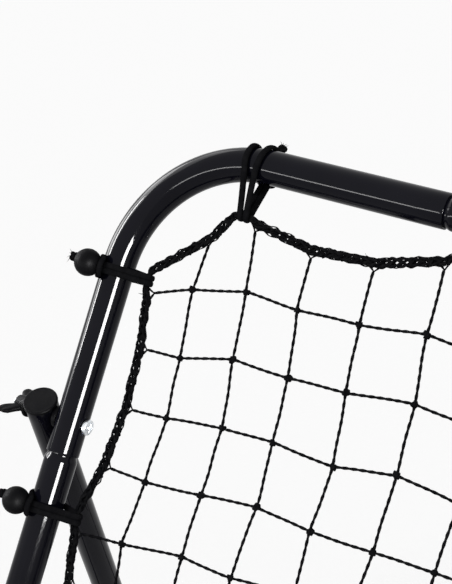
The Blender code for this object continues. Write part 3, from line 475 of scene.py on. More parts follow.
def bent_axis(first_arm, corner, along_first, along_second):
    """A line with one quarter bend, as a function of distance.

    Up to the bend it runs along the first direction, then it turns on a circle, then along the second.
    """
    start = corner - along_first * BEND_RADIUS
    normal = np.cross(along_first, along_second)

    def axis(places):
        turn = np.clip((places - first_arm) / BEND_RADIUS, 0, math.pi / 2)[:, None]
        before = np.minimum(places - first_arm, 0)[:, None]
        beyond = np.maximum(places - first_arm - BEND_ARC, 0)[:, None]
        centre = start + (BEND_RADIUS * np.sin(turn) + before) * along_first
        centre = centre + (BEND_RADIUS * (1 - np.cos(turn)) + beyond) * along_second
        return centre, np.sin(turn) * along_first - np.cos(turn) * along_second, normal
    return axis


print("tube", TUBE_RADIUS * 2000, "mm across, arc of its bend", round(BEND_ARC * 1000), "mm")

# %% [markdown]
# ## Wall, dent and neck
# The real tube is drawn down where it plugs into its neighbour and pressed in where the prop's spacer sits.
# Sculpting could do both. Here they are changes of a ring's radius: along the tube for the neck, and round
# the ring for the dent. Rings lie close together only where the radius changes.

# %% Hollow tube
TUBE_SIDES = 56
DENT_BLEND = 0.0004


def tube(axis, places, radius, start, end, dent=0.0):
    """A hollow tube along an axis: rings of the outside one way and of the bore back, as one loop.

    Each ring is a circle, cosine along across and sine along normal. Where there is a dent, cosine is held
    below radius less dent by half of sum less smoothed difference, a round transition.
    """
    places = with_rims(places, start, end)
    radii = radius(places) if callable(radius) else np.full(len(places), radius)
    dents = (dent(places) if callable(dent) else np.full(len(places), dent))[:, None]
    turn = full_turn(TUBE_SIDES)
    rows = []
    for size in (radii - rim_drop(places, start, end), radii - TUBE_WALL):
        size = size[:, None]
        reach, limit = size * np.cos(turn), size - dents
        held = (reach + limit - np.sqrt((reach - limit) ** 2 + DENT_BLEND ** 2)) / 2
        rows.append(ring_points(*axis(places), np.where(dents > 0, held, reach), size * np.sin(turn)))
    return skin(np.concatenate([rows[0], rows[1][::-1]]), np.concatenate([places, places[::-1]]), loop=True)


def necked(joint, way):
    """Radius along a tube drawn down to a neck beyond joint, towards larger distances if way is 1."""
    def radius(places):
        share = smooth((way * (places - joint) + SHOULDER_LENGTH) / SHOULDER_LENGTH)
        return TUBE_RADIUS + (NECK_RADIUS - TUBE_RADIUS) * share
    return radius


def spaced(start, end, step, *marks):
    """Places from start to end about a step apart, closer together round each mark."""
    places = [np.linspace(start, end, max(2, int((end - start) / step) + 1))]
    places += [np.linspace(mark - spread, mark + spread, count) for mark, spread, count in marks]
    joined = np.unique(np.round(np.concatenate(places), 6))
    return joined[(joined >= start) & (joined <= end)]


print("places on 0.1 m with a mark:", len(spaced(0.0, 0.1, 0.02, (0.05, *SHOULDER_RINGS))))

# %% [markdown]
# ## Panel tubes
# The panel's frame is bolted from five tubes. Each rounded corner goes from the joint in the top rail to the
# joint below the pivot, where it has a shallow dent that seats the spacer of the prop. Straight tubes are
# drawn down at their ends to plug into the corners, which shows as a small cone under each joint.

# %% Corner tubes, side tubes and top bar
CORNER_SIDE_ARM = 0.2434
CORNER_TOP_ARM = 0.232
CORNER_FIRST_ARM = CORNER_SIDE_ARM - BEND_RADIUS
CORNER_LENGTH = CORNER_FIRST_ARM + BEND_ARC + CORNER_TOP_ARM - BEND_RADIUS
PIVOT_BELOW_TOP_RAIL = 0.219
CROSSBAR_ABOVE_HINGE = 0.050
TUBE_BELOW_HINGE = 0.012
DENT_DEPTH = 0.0026
DENT_FLAT = 0.020
DENT_RAMP = 0.012
SIDE_JOINT = HINGE_TO_TOP_RAIL - CORNER_SIDE_ARM
PIVOT_HEIGHT = HINGE_TO_TOP_RAIL - PIVOT_BELOW_TOP_RAIL


def dent_depth(height):
    """Flat round the pivot and faded beyond it by half a cosine."""
    fade = np.clip((np.abs(height - PIVOT_HEIGHT) - DENT_FLAT / 2) / DENT_RAMP, 0, 1)
    return DENT_DEPTH * (0.5 + 0.5 * np.cos(math.pi * fade))


for word, side in SIDES:
    outward = X * side
    side_axis = outward * HALF_WIDTH
    axis = bent_axis(CORNER_FIRST_ARM, side_axis + Z * HINGE_TO_TOP_RAIL, Z, -outward)
    places = spaced(0.0, CORNER_LENGTH, 0.02, (PIVOT_HEIGHT - SIDE_JOINT, 0.026, 27),
                    (CORNER_FIRST_ARM + BEND_ARC / 2, *BEND_RINGS))
    made = tube(axis, places, TUBE_RADIUS, 0.0, CORNER_LENGTH, lambda s: dent_depth(SIDE_JOINT + s))
    piece(f"corner_tube_{word}", f"upper_corner_tube_{word}", [made], [gloss_black])

    joint = SIDE_JOINT - GAP
    start, end = -TUBE_BELOW_HINGE, joint + NECK_LENGTH
    places = spaced(start, end, 0.05, (joint, *SHOULDER_RINGS), (PIVOT_HEIGHT, 0.022, 23))
    made = tube(straight_axis(side_axis, Z, outward), places, necked(joint, 1), start, end,
                lambda s: dent_depth(s) * (s > joint))
    piece(f"side_tube_{word}", f"lower_side_tube_{word}", [made], [gloss_black])


def bar(name, stands_for, half, centre, place):
    """A straight bar whose two ends are drawn down to necks."""
    reach = half + NECK_LENGTH
    places = spaced(-reach, reach, 0.05, (half, *SHOULDER_RINGS), (-half, *SHOULDER_RINGS))
    right_neck, left_neck = necked(half, 1), necked(-half, -1)
    made = tube(straight_axis(centre, X, Z), places, lambda s: np.minimum(right_neck(s), left_neck(s)),
                -reach, reach)
    piece(name, stands_for, [made], [gloss_black], place)


bar("top_bar", "top_rail", HALF_WIDTH - CORNER_TOP_ARM - GAP, Z * HINGE_TO_TOP_RAIL, on_panel)
print("tubes of the panel:", [tube_piece.name for tube_piece in pieces])

# %% [markdown]
# ## Bottom crossbar
# The crossbar butts against the side tubes, so its ends are coped: cut to the side tube's round. The cope
# could be cut with a Boolean. It is simpler as a formula, because each point of the bar's end lies where the
# bar's line meets the side tube's circle.

# %% Crossbar
COPE_REACH = TUBE_RADIUS + GAP
COPE_INSET = 0.72


def coped_bar(height):
    """Bar across the panel. At each end x is the side tube's axis less root of R squared less y squared."""
    turn = full_turn(TUBE_SIDES)
    y, z = TUBE_RADIUS * np.cos(turn), TUBE_RADIUS * np.sin(turn)
    end = HALF_WIDTH - np.sqrt(COPE_REACH ** 2 - y ** 2)
    flush = HALF_WIDTH - math.sqrt(COPE_REACH ** 2 - (TUBE_RADIUS * COPE_INSET) ** 2)
    stations = [(COPE_INSET, flush), (0.985, end), (1.0, end - RIM), (1.0, HALF_WIDTH - 0.03),
                (1.0, 0.2), (1.0, 0.0)]
    rows = [(scale, -x + 0 * y) for scale, x in stations]
    rows += [(scale, x + 0 * y) for scale, x in stations[-2::-1]]
    rings = np.stack([np.stack([x, y * scale, height + z * scale], axis=-1) for scale, x in rows])
    return skin(rings, rings[:, :, 0].mean(axis=1))


piece("crossbar", "bottom_crossbar", [coped_bar(CROSSBAR_ABOVE_HINGE)], [gloss_black])
print("crossbar faces:", len(pieces[-1].data.polygons))

# %% [markdown]
# ## Props and base
# Two props hold the panel up from behind. The base is a U on the ground: two front rails, two rear corner
# tubes and the rear bar. The foot bolts slide in a long slot through the rear corner tubes, the one place
# where a Boolean modifier is the plain way, so it is applied and the cutter removed.

# %% Props and base tubes
PROP_ABOVE_PIVOT = 0.0095
PROP_BELOW_FOOT = 0.012
RAIL_AHEAD_OF_HINGE = 0.030
REAR_JOINT = 0.285
REAR_BAR_BEHIND = 0.733
REAR_BAR_ARM = 0.150
REAR_FIRST_ARM = REAR_BAR_BEHIND - REAR_JOINT - BEND_RADIUS
REAR_LENGTH = REAR_FIRST_ARM + BEND_ARC + REAR_BAR_ARM - BEND_RADIUS
BOLT_RADIUS = 0.003
FOOT_BOLT_BEHIND = float(prop_foot[1] - hinge[1])
SLOT_AHEAD, SLOT_BEHIND, SLOT_LIFT = 0.1245, 0.1345, 0.0028
SLOT_RADIUS = (2 * (BOLT_RADIUS + GAP) + SLOT_LIFT) / 2
SLOT_CUT = 0.02


def slot_cutter(side):
    """A stadium outline on the tube's side, carried across the tube from one wall to the other."""
    turn = np.linspace(-math.pi / 2, math.pi / 2, 13)
    rear, front = FOOT_BOLT_BEHIND + SLOT_BEHIND, FOOT_BOLT_BEHIND - SLOT_AHEAD
    y = np.concatenate([rear + SLOT_RADIUS * np.cos(turn), front - SLOT_RADIUS * np.cos(turn)])
    z = SLOT_LIFT / 2 + SLOT_RADIUS * np.concatenate([np.sin(turn), -np.sin(turn)])
    rows = [np.stack([0 * y + side * RAIL_X + x, y, z], axis=-1) for x in (-SLOT_CUT, SLOT_CUT)]
    part = skin(np.stack(rows), np.array([0.0, 2 * SLOT_CUT]))
    mesh = bpy.data.meshes.new("slot_cutter")
    mesh.from_pydata(on_base(part["points"]).tolist(), [], part["quads"].tolist() + part["tris"].tolist())
    return linked("slot_cutter", mesh)


def cut(made, cutter):
    """Takes a cutter's shape out of a piece for good."""
    modifier = made.modifiers.new("slot", "BOOLEAN")
    modifier.operation = "DIFFERENCE"
    modifier.solver = "EXACT"
    modifier.object = cutter
    graph = bpy.context.evaluated_depsgraph_get()
    mesh = bpy.data.meshes.new_from_object(made.evaluated_get(graph))
    made.modifiers.clear()
    made.data = mesh
    mesh.set_sharp_from_angle(angle=math.radians(40))
    bpy.data.objects.remove(cutter)


for word, side in SIDES:
    outward = X * side
    rail = outward * RAIL_X
    made = tube(straight_axis(np.zeros(3), Z, outward), spaced(-PROP_SPAN, 0, 0.06), TUBE_RADIUS,
                -PROP_SPAN - PROP_BELOW_FOOT, PROP_ABOVE_PIVOT)
    piece(f"prop_{word}", f"prop_tube_{word}", [made], [gloss_black], on_prop(side))

    joint = REAR_JOINT - GAP
    start, end = -RAIL_AHEAD_OF_HINGE, joint + NECK_LENGTH
    places = spaced(start, end, 0.05, (joint, *SHOULDER_RINGS))
    made = tube(straight_axis(rail, Y, outward), places, necked(joint, 1), start, end)
    piece(f"base_rail_{word}", f"front_rail_{word}", [made], [gloss_black], on_base)

    axis = bent_axis(REAR_FIRST_ARM, rail + Y * REAR_BAR_BEHIND, Y, -outward)
    places = spaced(0.0, REAR_LENGTH, 0.04, (REAR_FIRST_ARM + BEND_ARC / 2, *BEND_RINGS))
    made = tube(axis, places, TUBE_RADIUS, 0.0, REAR_LENGTH)
    made = piece(f"base_corner_{word}", f"rear_corner_tube_{word}", [made], [gloss_black], on_base)
    cut(made, slot_cutter(side))

bar("base_rear_bar", "rear_bar", RAIL_X - REAR_BAR_ARM - GAP, Y * REAR_BAR_BEHIND, on_base)
print("pieces so far:", len(pieces))

# %% [markdown]
# ## Turned hardware
# Bolts, washers, sleeves, caps and nuts are turned parts: a profile of radius and distance, spun round an
# axis. Blender's Screw modifier could spin it. The function here can also change radius and distance as it
# goes round, which a thread and a cross recess need.


# %% Turned shapes
def turned(profile, origin, way, sides=48, loop=False, change=None):
    """A profile of (radius, distance along way) spun round way.

    change, if given, takes radius, distance and angle as arrays and returns new radius and distance.
    """
    across = Z if abs(way[2]) < 0.9 else Y
    across = unit(across - way * (across @ way))
    radius, distance = np.array(profile, float).T
    steps = np.hypot(np.diff(radius), np.diff(distance))
    turn = full_turn(sides)
    r, d = (np.repeat(values[:, None], sides, axis=1) for values in (radius, distance))
    if change:
        r, d = change(r, d, np.broadcast_to(turn, r.shape))
    rings = ring_points(origin, across, np.cross(way, across), r * np.cos(turn), r * np.sin(turn))
    return skin(rings + d[..., None] * way, np.concatenate([[0], np.cumsum(steps)]), loop)


def rounded(corners, radius, steps=4):
    """A profile with its corners rounded: each becomes a short curve between its two neighbours."""
    corners = np.array(corners, float)
    before, after = np.roll(corners, 1, axis=0), np.roll(corners, -1, axis=0)
    reach = np.full(len(corners), radius)
    for other in (before, after):
        reach = np.minimum(reach, np.linalg.norm(other - corners, axis=1) / 2.2)
    enter = corners + unit(before - corners) * reach[:, None]
    leave = corners + unit(after - corners) * reach[:, None]
    share = np.linspace(0, 1, steps)[:, None, None]
    curve = enter * (1 - share) ** 2 + corners * 2 * share * (1 - share) + leave * share ** 2
    return curve.transpose(1, 0, 2).reshape(-1, 2)


print("points in a rounded square:", len(rounded([(0, 0), (1, 0), (1, 1), (0, 1)], 0.1)))

# %% [markdown]
# ## Bolts, plugs, rings and nuts
# The bolts have a pan head with a cross recess, the hinge nuts are hexagons, and every open tube end has a
# moulded plug. Each is a profile of a few points. In the recess the head's height drops inside a cross, and
# on the thread the shaft's radius rises and falls with a wave that climbs as it goes round.

# %% Bolt, plug, ring and nut
HEAD_RADIUS, HEAD_HEIGHT = 0.006, 0.0038
THREAD_PITCH, THREAD_DEPTH = 0.001, 0.00055


def bolt(origin, way, length, thread_from, shaft=BOLT_RADIUS, head=HEAD_RADIUS, height=HEAD_HEIGHT):
    """A pan head bolt with a cross recess. Distance 0 is under its head and the shaft points along way."""
    rise = np.linspace(0, 1, 33)
    dome = np.stack([head * 0.9 * rise + 1e-5, -height * (1 - 0.22 * rise ** 2.5)], axis=1)
    edge = [(head * share, -height * depth)
            for share, depth in ((0.965, 0.70), (1.0, 0.50), (1.0, 0.12), (0.985, 0.0))]
    threads = np.linspace(thread_from, length - shaft * 0.25, int((length - thread_from) / 0.00014))
    thread = np.stack([np.full(len(threads), shaft), threads], axis=1)
    tip = [(shaft * 0.80, length - shaft * 0.08), (shaft * 0.74, length)]
    arm, reach = head * 0.13, head * 0.55

    def change(r, d, turn):
        x, y = r * np.cos(turn), r * np.sin(turn)
        wide, long = (1 - smooth((np.abs([x, y]) - limit) / fade + 0.5)
                      for limit, fade in ((arm, 0.0004), (reach, 0.0009)))
        recess = np.maximum(wide[0] * long[1], wide[1] * long[0]) * (d < -height * 0.7)
        wave = np.abs((d / THREAD_PITCH - turn / (2 * math.pi)) % 1.0 - 0.5) * 2
        threaded = smooth((d - thread_from) / 0.0008) * (r > shaft * 0.9) * (d > 0)
        return r - THREAD_DEPTH * threaded * wave, d + height * 0.62 * recess
    profile = np.vstack([dome, edge, [(shaft, 0.0), (shaft, thread_from)], thread, tip])
    return turned(profile, origin, way, 96, change=change)


def plug_cap(origin, way, over=0.0, flange=0.0015, edge=0.0007):
    """A moulded plug in a tube's end: a flat disc with a round edge, over metres wider than the tube."""
    top, rim, plug = flange + GAP, TUBE_RADIUS + over, BORE_RADIUS - GAP
    profile = [(0.0001, top), (rim * 0.55, top), (rim - edge * 1.5, top - 0.00004)]
    profile += [(rim - edge + edge * math.sin(a), top - edge + edge * math.cos(a))
                for a in np.linspace(0, math.pi / 2, 7)]
    profile += [(rim, GAP + 0.0002), (rim - 0.0002, GAP), (plug, GAP), (plug, -0.0046)]
    return turned(profile + [(plug - GAP, -0.005), (0.0001, -0.005)], origin, way)


def ring_part(origin, way, bore, radius, thickness, edge=0.0006):
    """A washer, spacer or sleeve with round edges."""
    profile = rounded([(bore, 0), (radius, 0), (radius, thickness), (bore, thickness)], edge)
    return turned(profile, origin, way, loop=True)


def hex_nut(origin, way, bore, across_flats, height):
    """A locking nut: hexagon with chamfered corners, then the round collar that holds its insert."""
    flat = across_flats / 2
    point = flat / math.cos(math.pi / 6)
    collar = [(flat * share, height * rise)
              for share, rise in ((1.02, 0.78), (0.93, 0.80), (0.90, 0.95), (0.78, 1.0))]
    profile = [(bore, 0), (flat, 0), (point, 0.0006), (point, height * 0.68), *collar, (bore, height)]

    def change(r, d, turn):
        return np.minimum(r, flat / np.cos((turn + math.pi / 6) % (math.pi / 3) - math.pi / 6)), d
    return turned(profile, origin, way, 96, loop=True, change=change)


print("faces in a 40 mm bolt:", len(bolt(0 * X, X, 0.040, 0.025)["quads"]))

# %% [markdown]
# ## Wing nuts
# A moulded wing nut has a round seat, a tapered boss and two paddles that lean away from the seat. A paddle
# is swept from flat ovals: the oval's width and thickness are functions of the distance along the paddle,
# and both run out to nothing at the tip, which rounds it.

# %% Wing nut shape
NUT_HEIGHT = 0.0115
NUT_SEAT_RADIUS = 0.009


def paddle(origin, way, wing):
    """One wing. Ovals of power 3 along a curve from the boss outwards and away from the seat."""
    share = np.linspace(0, 1, 22) ** 0.85
    end = np.sqrt(np.clip(1 - np.clip((share - 0.74) / 0.26, 0, 1) ** 2, 0, 1))
    out = 0.0025 + 0.0162 * share
    lift = 0.0050 + 0.0084 * smooth(share * 1.12)
    half_width = (0.0042 + 0.0013 * smooth((share - 0.25) / 0.5)) * end + 1e-5
    half_depth = (0.0024 - 0.0006 * share) * np.sqrt(end) + 1e-5
    centre = origin + out[:, None] * wing + lift[:, None] * way
    flat = np.cross(way, wing)
    rise = np.cross(flat, unit(np.gradient(centre, axis=0)))
    turn = full_turn(28)
    c, s = np.cos(turn), np.sin(turn)
    scale = (np.abs(c) ** 3 + np.abs(s) ** 3) ** (-1 / 3)
    dish = 1 - 0.22 * smooth(1 - np.abs(c * scale) * 1.6) * smooth((share - 0.35) / 0.3)[:, None]
    return skin(ring_points(centre, rise, flat, half_width[:, None] * c * scale,
                            half_depth[:, None] * s * scale * dish), out)


def wing_nut(origin, way, wing):
    """Boss with a bore, its seat at origin, and a paddle each side."""
    bore = BOLT_RADIUS + GAP
    boss = rounded([(bore, 0), (NUT_SEAT_RADIUS, 0), (NUT_SEAT_RADIUS, 0.002), (0.0070, 0.0029),
                    (0.0054, NUT_HEIGHT), (bore, NUT_HEIGHT)], 0.0007)
    return [turned(boss, origin, way, loop=True), paddle(origin, way, wing), paddle(origin, way, -wing)]


print("points in a wing nut:", sum(len(part["points"]) for part in wing_nut(0 * X, X, Y)))

# %% [markdown]
# ## Hardware in its place
# Each joint takes a bolt and its nut, and each open tube end a plug. A place could be given for every one.
# Here a list for each side names the shape, its finish and its frame, and a bolt's length is the sum of what
# it goes through. Both sides share the list, with the way outwards turned round.

# %% Hardware of the panel, the props and the hinge
SEAT = TUBE_RADIUS + GAP
BOLT_PAST_NUT = 0.003
WING_THREAD = 0.0155
SPACER_RADIUS, SPACER_THICKNESS = 0.0085, 0.0036
HINGE_BOLT_RADIUS, HINGE_HEAD_RADIUS, HINGE_HEAD_HEIGHT, HINGE_THREAD = 0.004, 0.0075, 0.0045, 0.012
HINGE_NUT_FLATS, HINGE_NUT_HEIGHT, SLEEVE_RADIUS = 0.013, 0.0075, 0.008
FACE_GAP = RAIL_X - HALF_WIDTH - 2 * SEAT
pivot_length = 2 * TUBE_RADIUS + PROP_X - HALF_WIDTH + 2 * GAP + NUT_HEIGHT + BOLT_PAST_NUT
foot_length = 4 * TUBE_RADIUS + 3 * GAP + NUT_HEIGHT + BOLT_PAST_NUT
hinge_length = RAIL_X - HALF_WIDTH + 2 * SEAT + HINGE_NUT_HEIGHT + BOLT_PAST_NUT
level_in_panel = np.array([0.0, math.cos(LEAN), math.sin(LEAN)])
level_in_prop = np.array([0.0, math.cos(PROP_ANGLE), -math.sin(PROP_ANGLE)])

for word, side in SIDES:
    outward = X * side
    side_axis, foot = outward * HALF_WIDTH, -Z * PROP_SPAN
    pivot, low = side_axis + Z * PIVOT_HEIGHT, side_axis + Z * CROSSBAR_ABOVE_HINGE
    nut_seat = outward * (PROP_X + SEAT) + Z * PIVOT_HEIGHT
    bore = BOLT_RADIUS + GAP
    hinge_bore = HINGE_BOLT_RADIUS + GAP
    fittings = [
        ("pivot_screw", "pivot_bolt", zinc, on_panel,
         [bolt(pivot - outward * SEAT, outward, pivot_length, pivot_length - WING_THREAD)]),
        ("pivot_ring", "pivot_spacer", black_plastic, on_panel,
         [ring_part(pivot + outward * (SEAT - DENT_DEPTH), outward, bore, SPACER_RADIUS, SPACER_THICKNESS)]),
        ("pivot_wings", "pivot_wing_nut", black_plastic, on_panel,
         wing_nut(nut_seat, outward, level_in_panel)),
        ("crossbar_screw", "crossbar_bolt", zinc, on_panel,
         [bolt(low + outward * SEAT, -outward, 2 * SEAT + 0.014, 0.028)]),
        ("side_tube_plug", "side_tube_cap", black_plastic, on_panel,
         [plug_cap(side_axis - Z * TUBE_BELOW_HINGE, -Z)]),
        ("prop_top_plug", "prop_top_cap", black_plastic, on_prop(side),
         [plug_cap(Z * PROP_ABOVE_PIVOT, Z, over=0.0008, flange=0.0026, edge=0.0011)]),
        ("prop_foot_plug", "prop_foot_cap", black_plastic, on_prop(side),
         [plug_cap(foot - Z * PROP_BELOW_FOOT, -Z)]),
        ("foot_screw", "foot_bolt", zinc, on_prop(side),
         [bolt(foot - outward * SEAT, outward, foot_length, foot_length - WING_THREAD)]),
        ("foot_wings", "foot_wing_nut", black_plastic, on_prop(side),
         wing_nut(foot + outward * (3 * TUBE_RADIUS + 2 * GAP), outward, level_in_prop)),
        ("hinge_screw", "hinge_bolt", zinc, on_base,
         [bolt(outward * (HALF_WIDTH - SEAT), outward, hinge_length, hinge_length - HINGE_THREAD,
               HINGE_BOLT_RADIUS, HINGE_HEAD_RADIUS, HINGE_HEAD_HEIGHT)]),
        ("hinge_tube", "hinge_sleeve", zinc, on_base,
         [ring_part(outward * (HALF_WIDTH + SEAT), outward, hinge_bore, SLEEVE_RADIUS, FACE_GAP, 0.0004)]),
        ("hinge_hex", "hinge_nut", zinc, on_base,
         [hex_nut(outward * (RAIL_X + SEAT), outward, hinge_bore, HINGE_NUT_FLATS, HINGE_NUT_HEIGHT)]),
    ]
    for name, stands_for, finish, place, skins in fittings:
        piece(f"{name}_{word}", f"{stands_for}_{word}", skins, [finish], place)
print("hardware:", 2 * len(fittings), "pieces, pivot bolt", round(pivot_length * 1000, 1), "mm long")

# %% [markdown]
# ## Feet
# The feet are soft rubber: a cup over the front end of each rail and a clip under the rear bar. Both have the
# same section, a flat sole with straight sides and a round top. It is carried along the tube, drawn in at
# both ends for a soft edge, and the sole has grooves across it.

# %% Feet
FOOT_RADIUS = TUBE_RADIUS + GAP + 0.003
FOOT_CORNER = 0.0275
SOLE_DEPTH = float(hinge[2])
FOOT_EDGE = 0.0014
CUP_START, CUP_END = -0.0033, 0.0167
CLIP_HALF = 0.018
CLIP_MOUTH = 0.0085 / FOOT_RADIUS
GROOVE_DEPTH, GROOVE_MARGIN = 0.0011, 0.002


def foot_reach(turn):
    """From the tube's axis to the foot's skin: round above, a box of power 9 below with cut corners."""
    across, down = np.abs(np.cos(turn)), np.maximum(-np.sin(turn), 0)
    box = ((across / FOOT_RADIUS) ** 9 + (down / SOLE_DEPTH) ** 9 + 1e-9) ** (-1 / 9)
    return np.where(np.sin(turn) >= 0, FOOT_RADIUS, np.minimum(box, FOOT_CORNER))


def sole_grooves(places, start, end):
    """Grooves across the sole where a wave along the foot is high."""
    wave = np.cos((places - start) / (end - start) * 2 * math.pi * 4.5)
    inside = (places > start + GROOVE_MARGIN) * (places < end - GROOVE_MARGIN)
    return GROOVE_DEPTH * smooth((wave - 0.2) / 0.35) * inside


def foot_sides(turn, start, end):
    """Places along the tube, how far the skin draws in at each, and the section across and up.

    The skin draws in on a quarter circle near both ends, and the section never goes below the sole.
    """
    curve = np.linspace(0, math.pi / 2, 5)
    ease_in, ease_out = FOOT_EDGE * (1 - np.cos(curve)), FOOT_EDGE * (1 - np.sin(curve))
    between = np.linspace(start, end, 44)[3:-3]
    places = np.concatenate([start + ease_in, between, end - ease_in[::-1]])
    shrink = np.concatenate([ease_out, 0 * between, ease_out[::-1]])[:, None]
    reach = foot_reach(turn) - shrink
    lowest = -SOLE_DEPTH + shrink + sole_grooves(places, start, end)[:, None]
    return places, shrink, reach * np.cos(turn), np.maximum(reach * np.sin(turn), lowest)


for word, side in SIDES:
    rail_end = X * side * RAIL_X - Y * RAIL_AHEAD_OF_HINGE
    turn = full_turn(72)
    places, shrink, a, b = foot_sides(turn, CUP_START, CUP_END)
    depths = np.concatenate([places, [CUP_END, 0.0, -GAP]])
    a = np.vstack([a, np.tile(SEAT * np.cos(turn), (3, 1))])
    b = np.vstack([b, np.tile(SEAT * np.sin(turn), (3, 1))])
    cup = skin(ring_points(rail_end + depths[:, None] * Y, X, Z, a, b),
               np.concatenate([places, [CUP_END, 0.03, 0.04]]))
    piece(f"front_shoe_{word}", f"front_foot_{word}", [cup], [foot_rubber], on_base)

    middle = X * np.mean(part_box(f"rear_foot_{word}"), axis=0)[0] + Y * REAR_BAR_BEHIND
    arc = np.linspace(math.pi / 2 + CLIP_MOUTH, 5 * math.pi / 2 - CLIP_MOUTH, 64)
    places, shrink, a, b = foot_sides(arc, -CLIP_HALF, CLIP_HALF)
    inner = SEAT + np.minimum(shrink, 0.0008)
    a = np.hstack([a, inner * np.cos(arc[::-1])])
    b = np.hstack([b, inner * np.sin(arc[::-1])])
    clip = skin(ring_points(middle + places[:, None] * X, Y, Z, a, b), places)
    piece(f"rear_shoe_{word}", f"rear_foot_{word}", [clip], [foot_rubber], on_base)
print("sole at", round(SOLE_DEPTH * 1000, 1), "mm below the tube's axis")

# %% [markdown]
# ## How the net hangs
# The net is knotted square, but it hangs unevenly: the border is pulled into scallops between the ties, and
# each knot settles where the pulls of its four strands balance. That is a set of equations with one row for
# each knot, built here from two small chain matrices and solved at once. A small drift keeps it from looking
# machined.

# %% Places of the net
PANEL_WIDTH = 2 * HALF_WIDTH
NET_HEIGHT = HINGE_TO_TOP_RAIL - CROSSBAR_ABOVE_HINGE
NET_COLUMNS, NET_ROWS = 16, 14
COLUMN_MARGIN, ROW_MARGIN, ROW_SKEW = 0.0508, 0.0946, 0.0120
TOP_SCALLOP, SIDE_SCALLOP = 0.0155, 0.0130
SIDE_PULL, TOP_PULL = 1.10, 1.14
KNOT_DRIFT, KNOT_DRIFT_TURNS = 0.0035, (10.948, 11.923)
STRAND_FROM_TIE = 0.0095
RAIL_TIES_TO_BORDER = np.array([0.038, 0.028, 0.028, 0.028, 0.038])
SIDE_TIES_TO_BORDER = np.full(4, 0.0272)
TIE_CORD_RADIUS = 0.002
TIE_STRETCH = 0.0023 + TIE_CORD_RADIUS + 0.0026
rail_ties = np.array([0.088, 0.250, HALF_WIDTH, PANEL_WIDTH - 0.250, PANEL_WIDTH - 0.088])
side_ties = np.array([0.102, 0.285, NET_HEIGHT - 0.285, NET_HEIGHT - 0.102])


def edge_places(places, length, ties, at_ties, sag, last):
    """Ends of strands on one edge of the border: place along the edge and depth inside the tube.

    Between two ties the depth is a line plus a parabola. Beyond the last tie the border runs straight
    to the next edge's first tie, and last is the furthest point that a strand of this edge may take.
    """
    places = np.clip(places, last[0], length - last[0])
    nearest = ties[np.abs(ties[None] - places[:, None]).argmin(axis=1)]
    away = places - nearest
    clear = nearest + np.copysign(STRAND_FROM_TIE, away)
    places = np.where(np.abs(away) < STRAND_FROM_TIE, clear, places)
    k = np.clip(np.searchsorted(ties, places) - 1, 0, len(ties) - 2)
    share = np.clip((places - ties[k]) / (ties[k + 1] - ties[k]), 0, 1)
    depth = at_ties[k] * (1 - share) + at_ties[k + 1] * share + sag * 4 * share * (1 - share)
    from_end = np.minimum(places, length - places)
    cut_share = (ties[0] - from_end) / (ties[0] - last[0])
    return places, np.where(from_end >= ties[0], depth, at_ties[0] + (last[1] - at_ties[0]) * cut_share)


def corner_cut(share):
    """A point between a corner's side tie and its rail tie, from the side tube and from the rail."""
    side_depth, rail_depth = SIDE_TIES_TO_BORDER[0], RAIL_TIES_TO_BORDER[0]
    return np.array([side_depth + (rail_ties[0] - side_depth) * share,
                     side_ties[0] + (rail_depth - side_ties[0]) * share])


columns = np.linspace(COLUMN_MARGIN, PANEL_WIDTH - COLUMN_MARGIN, NET_COLUMNS)
rows = np.linspace(ROW_MARGIN, NET_HEIGHT - ROW_MARGIN, NET_ROWS)
x, depth = edge_places(columns, PANEL_WIDTH, rail_ties, RAIL_TIES_TO_BORDER, TOP_SCALLOP, corner_cut(2 / 3))
tops, bottoms = np.stack([x, depth], axis=1), np.stack([x, NET_HEIGHT - depth], axis=1)
lefts, rights = (
    np.stack(edge_places(rows + skew, NET_HEIGHT, side_ties, SIDE_TIES_TO_BORDER, SIDE_SCALLOP,
                         corner_cut(1 / 3)[::-1])[::-1], axis=1)
    for skew in (ROW_SKEW, -ROW_SKEW)
)
rights[:, 0] = PANEL_WIDTH - rights[:, 0]
print("border at the top strands:", [round(value, 3) for value in tops[:, 1].tolist()], "m below the rail")

# %% [markdown]
# ## Where the knots settle
# A cloth simulation could find the knots' places. A few pulls are enough here: each strand pulls its knot
# towards its neighbours, and towards the border a little harder than within the net.


# %% Knots in balance
def chain(count, end_pull):
    """Pulls in a row of knots: each feels its two neighbours, and the two end ones feel the border."""
    matrix = 2 * np.eye(count) - np.eye(count, k=1) - np.eye(count, k=-1)
    matrix[0, 0] = matrix[-1, -1] = 1 + end_pull
    return matrix


pulls = (np.kron(np.eye(NET_ROWS), chain(NET_COLUMNS, SIDE_PULL))
         + np.kron(chain(NET_ROWS, TOP_PULL), np.eye(NET_COLUMNS)))
loads = np.zeros((NET_ROWS, NET_COLUMNS, 2))
loads[:, 0] += SIDE_PULL * lefts
loads[:, -1] += SIDE_PULL * rights
loads[0] += TOP_PULL * tops
loads[-1] += TOP_PULL * bottoms
drift = KNOT_DRIFT * np.sin(np.outer(np.arange(1, NET_ROWS * NET_COLUMNS + 1) ** 2, KNOT_DRIFT_TURNS))
knots = (np.linalg.solve(pulls, loads.reshape(-1, 2)) + drift).reshape(NET_ROWS, NET_COLUMNS, 2)


def in_net(places, back=0.0):
    """From distances right of the left tube and below the top rail to the panel's frame."""
    lift = np.broadcast_to(back, places.shape[:-1])
    return np.stack([places[..., 0] - HALF_WIDTH, lift, HINGE_TO_TOP_RAIL - places[..., 1]], axis=-1)


print("knots:", knots.shape[0] * knots.shape[1], "strands:", NET_ROWS + NET_COLUMNS)

